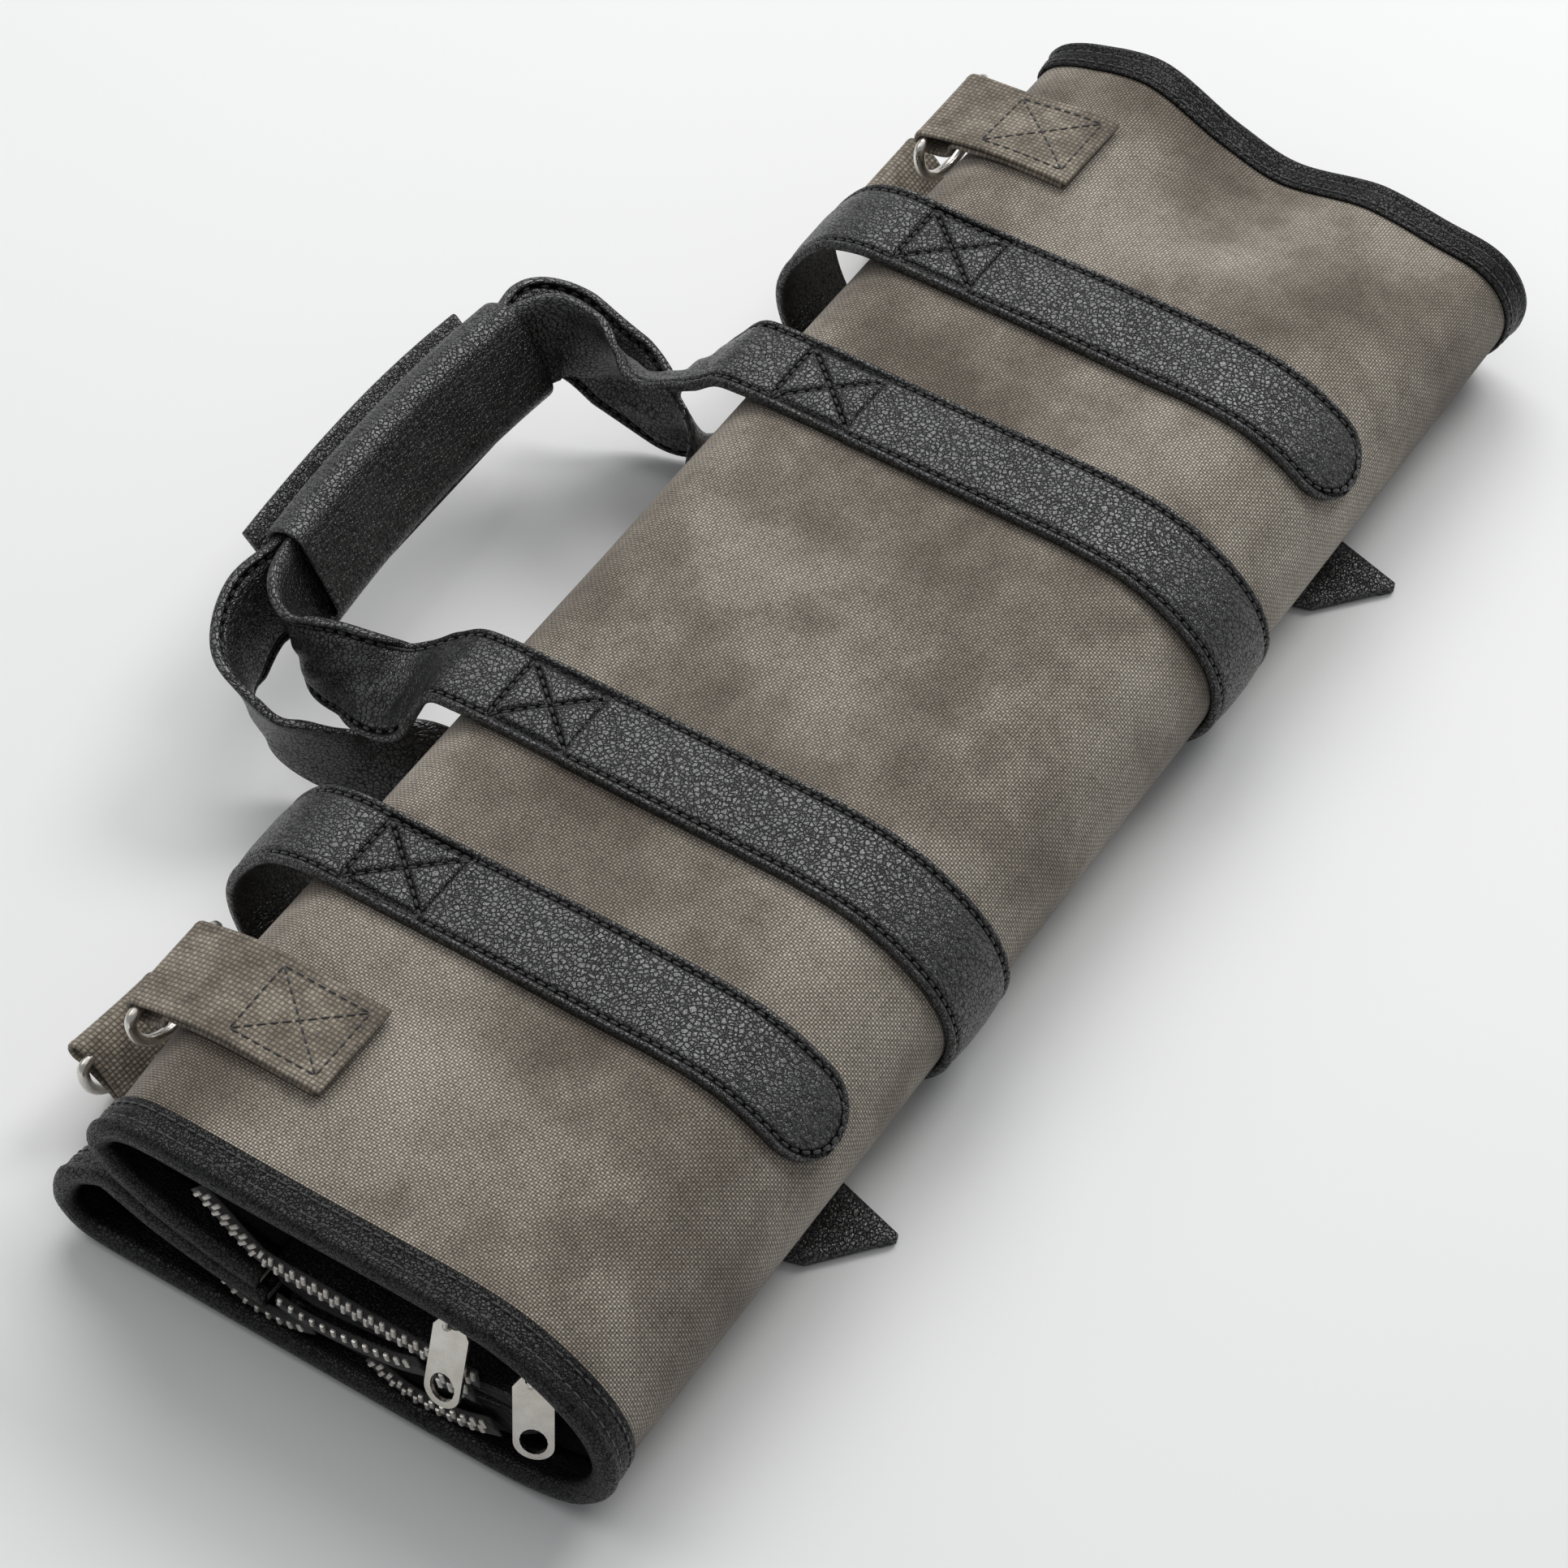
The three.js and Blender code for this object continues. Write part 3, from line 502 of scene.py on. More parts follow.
SKINS = {
    "canvas": (canvas_finish(), "canvas"),
    "lining": (lining_finish(), "lining"),
    "leather": (leather_finish(), "leather"),
    "binding": (leather_finish("binding_leather", None, 0.8, 0.0030, 0.30, 0.40), "leather"),
    "pocket": (leather_finish("pocket_leather", None, 0.95, 0.0060, 0.36, 0.7), "leather"),
    "webbing": (webbing_finish(), "webbing"),
    "nickel": (metal_finish(), "nickel"),
    "teeth": (metal_finish("zip_teeth", shine=0.30, metallic=0.65), "zip"),
    "tape": (lining_finish("zip_tape", 0.005), "zip"),
    "thread": (thread_finish("black_thread", 0.0026), "leather"),
    "grey_thread": (thread_finish("grey_thread", 0.013), "leather"),
    "brown_thread": (thread_finish("brown_thread", 0.014, 1.2), "webbing"),
}
LEATHER_CAD = leather_finish("leather_on_frame", object_millimetres)
NICKEL_CAD = metal_finish("nickel_on_frame", object_millimetres)


# ---- the shell ----
PANEL_OUTLINE = [
    (42, 26.8), (55, 29.5), (70, 34.5), (84, 41), (92, 47), (95, 53), (92, 60.5), (84, 66.3), (72, 68),
    (30, 68), (-20, 68), (-40, 64.8), (-56, 56), (-66, 45), (-69.5, 33), (-66.5, 20), (-57, 9.2),
    (-42, 4.4), (-26, 3.35), (30, 3.35), (88, 3.35), (98, 5.2), (103.5, 12), (102.5, 21), (98, 30),
    (91, 37), (82, 34.6), (70, 29), (55, 24.6), (40, 22.6),
]
PANEL = clamp_heights(curve(PANEL_OUTLINE, 2.0), PANEL_BOTTOM, PANEL_TOP)
PANEL_RIBBON = Ribbon(in_plane(0, PANEL))


def make_sheet(name, outer, inner, skin, step=2.0):
    """The panel's layer between two heights, as one closed sheet."""
    edge = ROLL_HALF - 1.6
    x = np.linspace(-edge, edge, int(2 * edge / step))
    v = PANEL_RIBBON.run
    u_all = np.concatenate([x, x[::-1]])
    w_all = np.concatenate([np.full(len(x), outer), np.full(len(x), inner)])
    u, w = np.tile(u_all, len(v)), np.tile(w_all, len(v))
    along = np.repeat(v, len(u_all))
    points = PANEL_RIBBON.point(u, along, w)
    columns = len(u_all)
    faces = ring_faces(len(v), columns, closed_ends=False)
    for first in (0, (len(v) - 1) * columns):
        faces += [(first + k, first + k + 1, first + columns - 2 - k, first + columns - 1 - k)
                  for k in range(len(x) - 1)]
    piece = mesh_piece(name, points, faces, np.column_stack([u, along, w]), skin)
    return piece


# A rolled binding's section: distance from the roll's end, and height over the canvas.
BINDING_SECTION = [
    (11.6, 0.25), (11.4, 1.0), (10.8, 1.35), (9.8, 1.25), (9.0, 1.05), (8.2, 1.3), (6.8, 1.75), (5.2, 1.6),
    (4.2, 1.25), (3.4, 1.75), (2.0, 2.35), (0.8, 2.1), (-0.3, 1.1), (-0.8, -0.6), (-0.8, -2.4), (-0.2, -4.2),
    (0.9, -5.1), (2.2, -5.4), (3.6, -4.9), (6.4, -4.8), (9.5, -4.6), (11.2, -4.4), (11.5, -3.5), (1.5, -3.45),
    (1.5, 0.2),
]
BINDING_STITCHES = (9.0, 4.2)  # the stitch rows' distances from the roll's end


def make_binding(end, side):
    section = [(side * (ROLL_HALF - t), w) for t, w in BINDING_SECTION]
    piece = sweep(f"binding_{end}_leather", PANEL_RIBBON, section, SKINS["binding"])
    fit_on(piece, "roll", f"binding_{end}")
    rows = []
    for inset in BINDING_STITCHES:
        across = side * (ROLL_HALF - inset)
        rows.append(fine_line((across, 4), (across, PANEL_RIBBON.length - 4), 400))
    thread = stitch_row(f"binding_{end}_stitching", PANEL_RIBBON, rows,
                        lambda u, v: np.full(len(u), 1.35), SKINS["grey_thread"], 0.8)
    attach(thread, "roll")


def make_shell():
    canvas = make_sheet("canvas_panel", 0.0, -CANVAS, SKINS["canvas"])
    lining = make_sheet("lining_panel", -CANVAS - GAP, -SHELL, SKINS["lining"], 6.0)
    for piece, node in ((canvas, "outer_canvas"), (lining, "inner_lining")):
        fit_on(piece, "roll", node)
    for end, side in ENDS.items():
        make_binding(end, side)


# ---- leather straps ----
SEAM_IN = 2.7                # an edge stitch's distance from the strap's edge
POINT_LENGTH = 23.0          # how far back a pointed end starts to narrow


def strap_top(across, half):
    """Height of a strap's face over its middle layer: rounded rims, a stitched groove and a full middle."""
    from_edge = (1 - np.abs(across)) * half
    rim = 1.5 * np.clip(from_edge / 0.9, 0, 1) ** 0.5
    groove = 1.05 * np.exp(-((from_edge - SEAM_IN) / 0.85) ** 2)
    return rim - groove + 0.55 * smooth_step(SEAM_IN, half * 0.8, from_edge)


def seam_dent(u, v, seams):
    """How deep crossing seams pull the leather in."""
    dent = np.zeros(len(u))
    p = np.column_stack([u, v])
    for line in seams:
        for a, b in zip(line[:-1], line[1:]):
            a, b = np.array(a, float), np.array(b, float)
            t = np.clip((p - a) @ (b - a) / max((b - a) @ (b - a), 1e-9), 0, 1)
            away = np.linalg.norm(p - a - t[:, None] * (b - a), axis=1)
            dent = np.maximum(dent, np.exp(-(away / 0.9) ** 2))
    return dent


def cross_box(first, last, half=11.6):
    """A sewn box with a cross in it, as lines of [across, along] points."""
    a, b, c, d = (-half, first), (half, first), (half, last), (-half, last)
    return [[a, b], [b, c], [c, d], [d, a], [a, c], [b, d]]


def fine_line(a, b, count=60):
    return np.column_stack([np.linspace(a[0], b[0], count), np.linspace(a[1], b[1], count)])


class Strap:
    """A leather strap on a ribbon, with its stitches."""

    def __init__(self, name, ribbon, width, first=0.0, last=None, boxes=(), tip=None, creases=None):
        self.name, self.ribbon, self.half = name, ribbon, width / 2
        self.first, self.last = first, ribbon.length if last is None else last
        self.boxes, self.tip, self.creases = list(boxes), tip, creases

    def half_at(self, v):
        """Half the strap's width at a distance along it."""
        left = self.last - v
        if self.tip == "round":
            inside = np.clip(self.half - left, 0, self.half)
            return np.maximum(np.sqrt(np.maximum(self.half ** 2 - inside ** 2, 0)), 0.3)
        if self.tip == "point":
            return np.clip(0.8 + left * self.half / POINT_LENGTH, 0, self.half)
        return np.full(len(v), self.half)

    def top(self, u, v):
        half = np.maximum(self.half_at(np.clip(v, self.first, self.last)), 0.3)
        across = np.clip(u / half, -1, 1)
        rise = strap_top(across, half)
        if self.tip:
            rise = np.minimum(rise, 1.5 * np.clip((self.last - v) / 0.9, 0, 1) ** 0.5 + 0.4)
        dent = seam_dent(u, v, [line for box in self.boxes for line in box])
        rise = rise - 1.6 * dent
        if self.creases is not None:
            rise = rise + self.creases(u, v)
        return rise

    def make(self, skin, step=0.75, columns=47):
        v = np.linspace(self.first, self.last, max(8, int((self.last - self.first) / step)))
        if self.tip:
            close = self.last - np.array([0.05, 0.3, 0.7])
            v = np.unique(np.concatenate([v, close]))
        half = self.half_at(v)
        even = np.linspace(-1, 1, columns)
        across = np.sin(np.linspace(-math.pi / 2, math.pi / 2, columns)) * 0.55 + even * 0.45
        under = np.array([0.98, 0.6, 0, -0.6, -0.98])
        u_top = half[:, None] * across[None]
        u_low = half[:, None] * under[None]
        v_top = np.repeat(v[:, None], columns, axis=1)
        v_low = np.repeat(v[:, None], len(under), axis=1)
        w_top = self.top(u_top.ravel(), v_top.ravel()).reshape(u_top.shape)
        w_top[:, 0] = w_top[:, -1] = -0.7
        w_low = np.tile([-1.45, -1.5, -1.5, -1.5, -1.45], (len(v), 1))
        u, along, w = (np.concatenate(pair, axis=1).ravel() for pair in
                       ((u_top, u_low), (v_top, v_low), (w_top, w_low)))
        points = self.ribbon.point(u, along, w)
        faces = ring_faces(len(v), columns + len(under))
        piece = mesh_piece(self.name, points, turned_out(points, faces), np.column_stack([u, along, w]), skin)
        seams = seam_dent(u, along, self.edge_lines() + [line for box in self.boxes for line in box])
        store = piece.data.attributes.new("seam", "FLOAT", "POINT")
        store.data.foreach_set("value", (seams * (w > 0)).astype(np.float32))
        return piece

    def edge_lines(self):
        reach = self.half - SEAM_IN
        first, last = self.first + 1.5, self.last - 1.5
        if self.tip == "round":
            turn = np.linspace(0, math.pi, 40)
            centre = self.last - self.half
            bow = np.column_stack([reach * np.cos(turn), centre + reach * np.sin(turn)])
            return [np.vstack([fine_line((reach, first), (reach, centre)), bow,
                               fine_line((-reach, centre), (-reach, first))])]
        if self.tip == "point":
            knee, peak = self.last - POINT_LENGTH, self.last - 6
            turns = [(reach, first), (reach, knee), (0.8, peak), (-reach, knee), (-reach, first)]
            return [np.vstack([fine_line(a, b) for a, b in zip(turns[:-1], turns[1:])])]
        return [fine_line((s * reach, first), (s * reach, last)) for s in (-1, 1)]

    def sew(self, skin, thick=1.0):
        lines = self.edge_lines() + [fine_line(*line) for box in self.boxes for line in box]
        return stitch_row(self.name + "_stitching", self.ribbon, lines,
                          lambda u, v: self.top(u, v) + 0.28, skin, thick)


def spine_path(from_z, to_z):
    """The middle of a strap that lies on the canvas over the spine."""
    outline = PANEL_RIBBON
    path = outline.line + outline.outs * (GAP + STRAP / 2)
    keep = (path[:, 1] < PEEL_Y - 10) & (path[:, 2] < from_z) & (path[:, 2] > to_z)
    return [tuple(p) for p in path[keep][::3, 1:]]


def bend_between(pieces):
    """Bakes each piece's place into its mesh."""
    for soft in pieces:
        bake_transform(soft)


TOP, LOW = TOP_MIDDLE, FLOOR_MIDDLE
SEAM_Y = 53.5                # where a strap's upper layer starts, at its sewn box
BOX_Y = (54.8, 81.0)
LOOP = [
    (PEEL_Y, TOP), (30, TOP), (80, TOP), (93, 69.2), (104, 65.2), (112, 57), (118.5, 46), (121, 35),
    (118.5, 22), (111.5, 9), (104, 3.2), (95, LOW), (20, LOW), (TOE_Y, LOW), (-64, LOW), (-82, LOW),
]
TOE_SKEW = 0.3               # how far the pointed end leans along the roll
TOP_START = [(SEAM_Y + 1.5, TOP - 0.25), (30, TOP), (0, TOP), (PEEL_Y, TOP), (-24, 69.4)]


def along_at(ribbon, y, top=True):
    """Distance along a ribbon where it passes a Y, on the top or on the floor."""
    row = ribbon.line
    side = row[:, 2] > 40 if top else row[:, 2] < 20
    near = np.where(side, np.abs(row[:, 1] - y), 1e9)
    return ribbon.run[int(np.argmin(near))]


def make_closure(end, side):
    x = side * CLOSURE_X
    line = in_plane(x, clamp_heights(curve(LOOP, 1.2), LOW, TOP))
    past = line[:, 2] < 5
    line[:, 0] += np.where(past, np.maximum(TOE_Y - line[:, 1], 0) * TOE_SKEW, 0)
    ribbon = Ribbon(line, flip=True)
    first = along_at(ribbon, SEAM_Y)
    box = cross_box(along_at(ribbon, BOX_Y[0]), along_at(ribbon, BOX_Y[1]))
    run = Strap(f"closure_run_{end}", ribbon, STRAP_WIDTH, first=first, boxes=[box], tip="point")
    piece, thread = run.make(SKINS["leather"]), run.sew(SKINS["thread"])
    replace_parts(piece, f"closure_strap_{end}", f"closure_toe_{end}")
    bend_between((piece, thread))
    path = curve([*TOP_START, *spine_path(68.8, 41.5)], 1.2)
    ribbon = Ribbon(in_plane(x, clamp_heights(path, 5, TOP)))
    free = Strap(f"closure_free_{end}", ribbon, STRAP_WIDTH, tip="round")
    piece, thread = free.make(SKINS["leather"]), free.sew(SKINS["thread"])
    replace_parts(piece, f"closure_tip_{end}")
    bend_between((piece, thread))


def make_carry(end, side):
    x = side * CARRY_X
    path = [*TOP_START, *spine_path(68.8, LOW + 0.3), (-20, LOW), (30, LOW), (60, LOW)]
    ribbon = Ribbon(in_plane(x, clamp_heights(curve(path, 1.2), LOW, TOP)))
    run = Strap(f"carry_run_{end}", ribbon, STRAP_WIDTH)
    piece = run.make(SKINS["leather"])
    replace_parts(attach(piece, "roll"), f"carry_strap_{end}")
    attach(run.sew(SKINS["thread"]), "roll")


# ---- the handle ----
GRIP_LENGTH, GRIP_HEIGHT, GRIP_THICK, GRIP_WALL = 108.0, 35.0, 15.0, 2.2
GRIP_LEAN = math.radians(26)
GRIP_Y, GRIP_Z = 168.0, 46.0
GRIP_BOW = 3.2               # how far the grip's middle stands up from its ends
GRIP_SEAM = 9.5              # the seam's height on the grip's inner face
LAYER = STRAP / 2 + 0.7


def grip_point(x, y, z):
    """A place in the leaning grip, in roll millimetres. y is outwards and z is up the grip."""
    x, y, z = flattened(x, y, z)
    z = z + GRIP_BOW * (1 - (x / (GRIP_LENGTH / 2)) ** 2)
    cosine, sine = math.cos(GRIP_LEAN), math.sin(GRIP_LEAN)
    return np.column_stack([x, GRIP_Y + y * cosine + z * sine, GRIP_Z - y * sine + z * cosine])


def rounded_section(width, height, radius, steps=7):
    """A rounded rectangle's points [y, z], anticlockwise."""
    w, h = width / 2 - radius, height / 2 - radius
    points = []
    for k, (a, b) in enumerate(((w, h), (-w, h), (-w, -h), (w, -h))):
        turns = np.linspace(0, math.pi / 2, steps) + k * math.pi / 2
        points += [(a + radius * math.cos(t), b + radius * math.sin(t)) for t in turns]
    return np.array(points)


def grip_ring(at, section, pull):
    """One ring of the grip with its flat coordinates. pull draws it in towards the grip's middle."""
    size = np.linalg.norm(section, axis=1, keepdims=True)
    moved = section * (1 - pull / size)
    squeeze = 1 - 0.05 * math.cos(math.pi * at / GRIP_LENGTH) ** 2
    seam = 0.45 * np.exp(-((moved[:, 1] - GRIP_SEAM) / 0.9) ** 2) * (moved[:, 0] < 0)
    run = np.cumsum(np.linalg.norm(np.diff(section, axis=0, prepend=section[-1:]), axis=1))
    flat = np.column_stack([np.full(len(section), at), run, np.full(len(section), pull)])
    return grip_point(at, moved[:, 0] * squeeze + seam, moved[:, 1]), flat


def make_grip():
    half = GRIP_LENGTH / 2
    outer = rounded_section(GRIP_THICK, GRIP_HEIGHT, 6.2)
    inner = rounded_section(GRIP_THICK - 2 * GRIP_WALL, GRIP_HEIGHT - 2 * GRIP_WALL, 4.0)
    x = np.concatenate([[-half, -half + 0.3, -half + 0.9], np.linspace(-half + 2, half - 2, 70),
                        [half - 0.9, half - 0.3, half]])
    shrink = np.clip(np.minimum(x + half, half - x), 0, 1.0)
    edge = 0.7 * (1 - np.sqrt(np.clip(1 - (1 - shrink) ** 2, 0, 1)))
    rings = [grip_ring(at, outer, pull) for at, pull in zip(x, edge)]
    rings += [grip_ring(at, inner, 0) for at in x[::-1][::4]]
    points, flat = (np.vstack(part) for part in zip(*rings))
    piece = mesh_piece("grip_leather", points, loop_faces(len(rings), len(outer)), flat, SKINS["leather"])
    fit_on(piece, "handle", "grip_wrap")


def sew_grip():
    reach = GRIP_LENGTH / 2 - 4
    line = grip_point(np.linspace(-reach, reach, 60), -GRIP_THICK / 2 + 0.35, GRIP_SEAM)
    up = grip_point(0, 0, 1) - grip_point(0, 0, 0)
    ribbon = Ribbon(line, np.repeat(up, len(line), axis=0), give=False)
    sign = 1 if ribbon.outs[0][1] < 0 else -1
    thread = stitch_row("grip_stitching", ribbon, [fine_line((0, 0), (0, ribbon.length))],
                        lambda u, v: np.full(len(u), sign * 0.25), SKINS["thread"], 0.75)
    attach(thread, "handle")


FLAP_HEIGHT, FLAP_LEATHER, FLAP_LEAN = 31.0, 2.2, math.radians(12)
FLAP_FOOT = (GRIP_THICK / 2 + 2, -GRIP_HEIGHT / 2 + 1)


def flap_point(x, up, out):
    """A place on the flap: up from its foot and out from its inner face."""
    x, up, out = flattened(x, up, out)
    curl = 1.6 * (up / FLAP_HEIGHT) ** 2 + 0.5 * np.sin(x / 17) * (up / FLAP_HEIGHT)
    y = FLAP_FOOT[0] + (out + curl) * math.cos(FLAP_LEAN) + up * math.sin(FLAP_LEAN)
    z = FLAP_FOOT[1] + up * math.cos(FLAP_LEAN) - (out + curl) * math.sin(FLAP_LEAN)
    return grip_point(x, y, z)


def make_flap():
    half = GRIP_LENGTH / 2 - 2
    section = rounded_section(FLAP_LEATHER, FLAP_HEIGHT, 0.9, 4) + [FLAP_LEATHER / 2, FLAP_HEIGHT / 2]
    x = np.concatenate([[-half, -half + 0.5], np.linspace(-half + 2, half - 2, 50), [half - 0.5, half]])
    points = np.vstack([flap_point(at, section[:, 1], section[:, 0]) for at in x])
    flat = np.column_stack([np.repeat(x, len(section)), np.tile(section[:, ::-1], (len(x), 1))])
    faces = turned_out(points, ring_faces(len(x), len(section)))
    piece = mesh_piece("flap_leather", points, faces, flat, SKINS["leather"])
    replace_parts(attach(piece, "flap"), "grip_flap")


def leg_ribbon(rows):
    """A leg's ribbon through rows of [x, y, z, tilt]."""
    line = curve(rows, 1.2)
    tilt = np.radians(line[:, 3])
    across = np.column_stack([np.cos(tilt), np.sin(tilt) * math.sin(GRIP_LEAN), np.sin(tilt)])
    return Ribbon(line[:, :3], across, give=False)


# A leg's rows of [x, y, z, tilt], from the flat run that it grows out of to the grip's end.
UPPER_LEAD = [
    (CARRY_X, SEAM_Y, TOP, 0), (CARRY_X, 68, TOP, 0), (CARRY_X, 80, TOP, 0), (CARRY_X, 91, 69.4, 0),
    (CARRY_X, 99, 68, 0),
]
LOWER_LEAD = [(CARRY_X, 60, LOW, 0), (CARRY_X, 75, LOW, 0), (CARRY_X, 90, LOW, 0), (CARRY_X, 99, LOW, 0)]
UPPER_LEG = {
    "near": [(71.5, 106, 61.5, 8), (75.5, 118, 49, 30), (76.5, 136, 47, 66), (75, 152, 45, 82),
             (67, 162, 47.3, 90)],
    "far": [(70, 107, 60.5, 5), (66, 121.5, 48.5, 29), (66.5, 136, 44.3, 64), (66.5, 150, 46.8, 84),
            (63, 160, 48, 90)],
}
LOWER_LEG = {
    "near": [(71, 103, 2.6, 3), (71.5, 108.5, 8, 28), (76, 118, 16.8, 76), (85, 133, 17.9, 103),
             (92, 151, 27.5, 106), (87, 167, 37.5, 84), (70, 173, 43.2, 90)],
    "far": [(71, 103.5, 2.9, 1), (72.5, 108.5, 7.6, 16), (76, 118, 16.5, 60), (76, 131, 18, 94),
            (77, 148, 27, 108), (75, 164, 36, 98), (66.5, 171.5, 42.8, 90)],
}


def leg_rows(end, side, upper):
    """A leg's whole course, with its last two rows inside the grip."""
    sign = 1 if upper else -1
    y = GRIP_Y - sign * LAYER * math.cos(GRIP_LEAN)
    z = GRIP_Z + sign * LAYER * math.sin(GRIP_LEAN)
    body = UPPER_LEAD + UPPER_LEG[end] if upper else LOWER_LEAD + LOWER_LEG[end]
    tail = [(GRIP_LENGTH / 2 + 1, y, z, 90), (GRIP_LENGTH / 2 - 8, y, z + 0.8, 90)]
    return [(side * x, y, z, tilt if side < 0 else 180 - tilt) for x, y, z, tilt in body + tail]


def along_of(ribbon, y):
    return ribbon.run[int(np.argmin(np.abs(ribbon.line[:, 1] - y)))]


def make_leg(name, end, side, upper):
    ribbon = leg_ribbon(leg_rows(end, side, upper))
    if ribbon.outs[2][2] * (1 if upper else -1) < 0:
        ribbon.outs = -ribbon.outs
    start, stop = along_of(ribbon, 112), along_of(ribbon, 150)

    def creases(u, v):
        share = smooth_step(start - 12, start + 6, v) * (1 - smooth_step(stop, stop + 18, v))
        folds = np.sin(u * 0.55 + v * 0.42 + 1.2 * np.sin(v * 0.11))
        return 0.5 * share * folds * np.cos(u * 0.13 + 0.4)

    boxes = [cross_box(1.3, 1.3 + BOX_Y[1] - BOX_Y[0])] if upper else []
    leg = Strap(name, ribbon, STRAP_WIDTH - 0.6, boxes=boxes, creases=creases)
    piece, thread = leg.make(SKINS["leather"]), leg.sew(SKINS["thread"])
    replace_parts(piece, f"handle_leg_{'upper' if upper else 'lower'}_{end}")
    bend_between((piece, thread))


# ---- webbing tabs and their rings ----
LAYER_1 = PANEL_TOP + GAP + WEBBING / 2
LAYER_2 = LAYER_1 + WEBBING + GAP
TOP_FOLD, BOTTOM_FOLD = (104.0, 62.5), (126.0, 23.5)


def webbing_section():
    half, low, high = WEBBING_WIDTH / 2, -WEBBING / 2, WEBBING / 2
    top = [(half, low * 0.4), (half, high * 0.5), (half - 0.5, high), (half - 1.6, high + 0.12)]
    across = np.linspace(half - 2.4, -half + 2.4, 13)
    mirror = [(-u, w) for u, w in reversed(top)]
    return top + [(u, high) for u in across] + mirror + [(-half + 0.6, low), (0, low), (half - 0.6, low)]


def make_tab(name, x, fold, outer, inner, sewn):
    reach = RING_WIRE + 0.6 + WEBBING / 2
    turns = np.linspace(math.pi / 2, -math.pi / 2, 7)
    bend = [(fold[0] + math.cos(t) * reach, fold[1] + math.sin(t) * reach) for t in turns]
    ribbon = Ribbon(in_plane(x, curve(outer + bend + inner, 1.0)), flip=True)
    piece = sweep(f"tab_{name}", ribbon, webbing_section(), SKINS["webbing"])
    fit_on(piece, "roll", f"webbing_{name}")
    if sewn is not None:
        box = cross_box(4.0, 4.0 + sewn, 12.0)
        line = [fine_line(*edge) for edge in box]
        thread = stitch_row(f"tab_{name}_stitching", ribbon, line,
                            lambda u, v: np.full(len(u), WEBBING / 2 + 0.15), SKINS["brown_thread"], 0.8)
        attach(thread, "roll")


def make_ring(name, x, fold):
    half = 17 + RING_WIRE
    turns = np.linspace(0, math.pi, 25)
    bow = [(math.cos(t) * half, -3 - math.sin(t) * 18.5) for t in turns]
    corner = [(-half + 0.2, -1.4), (-half + 1.4, -0.2)]
    outline = bow + corner + [(-half / 2, 0), (half / 2, 0)] + [(-a, b) for a, b in reversed(corner)]
    closed = np.array(outline + outline[:1])
    line = curve(closed, 1.2)[:-1]
    along = unit(np.roll(line, -1, axis=0) - np.roll(line, 1, axis=0))
    out = np.column_stack([along[:, 1], -along[:, 0]])
    sides = 14
    points, flat = [], []
    for i, (p, o) in enumerate(zip(line, out)):
        for k in range(sides):
            t = k * 2 * math.pi / sides
            r = math.cos(t) * RING_WIRE
            points.append((x + p[0] + o[0] * r, fold[0] + math.sin(t) * RING_WIRE, fold[1] + p[1] + o[1] * r))
            flat.append((i * 1.2, t * RING_WIRE, 0))
    piece = mesh_piece(f"ring_{name}", points, loop_faces(len(line), sides), flat, SKINS["nickel"])
    fit_on(piece, f"ring_{name}", f"d_ring_{name}")


def make_tabs():
    for end, x, sewn_y in (("near", -WEBBING_X, 43), ("far", WEBBING_X, 54)):
        outer = [(sewn_y, LAYER_2), (60, LAYER_2), (78, LAYER_2), (88, 69.9), (98, 67.5)]
        inner = [(96, 61.6), (94.5, 65.8), (88, 67.6), (78, LAYER_1), (sewn_y + 2, LAYER_1)]
        make_tab(f"top_{end}", x, TOP_FOLD, outer, inner, 28)
        low = [(60, LOW), (96, LOW), (106, 5.5), (113, 13), (119.5, 22)]
        back = [(118, 14), (110, 5.5), (100, 0.9)]
        make_tab(f"bottom_{end}", x, BOTTOM_FOLD, low, back, None)
        make_ring(f"top_{end}", x, TOP_FOLD)
        make_ring(f"bottom_{end}", x, BOTTOM_FOLD)


# ---- pockets and zips at the near end ----
MOUTH = -ROLL_HALF
FAR_INSIDE = 238.0
MIDDLE_POCKET = [
    (40, 25), (41.5, 29), (40, 33), (0, 32), (-28, 34), (-44, 36), (-47, 34), (-46, 31), (-12, 27), (10, 25),
    (28, 23),
]
LOWER_POCKET = [
    (37, 8.6), (39, 13), (37, 17), (14, 17), (-8, 20), (-36, 26), (-44, 26.5), (-46, 24), (-36, 12.5),
    (-14, 8.6),
]
UPPER_SHEET = [(84, 54), (74, 58.6), (60, 58.4), (42, 56.6), (0, 56), (-24, 55), (-48, 48)]


POCKET_FRONT = {0.0: 3.0, 0.25: 1.7, 1.0: 0.7, 2.4: 0.15}  # depth in a pocket: how far it draws in


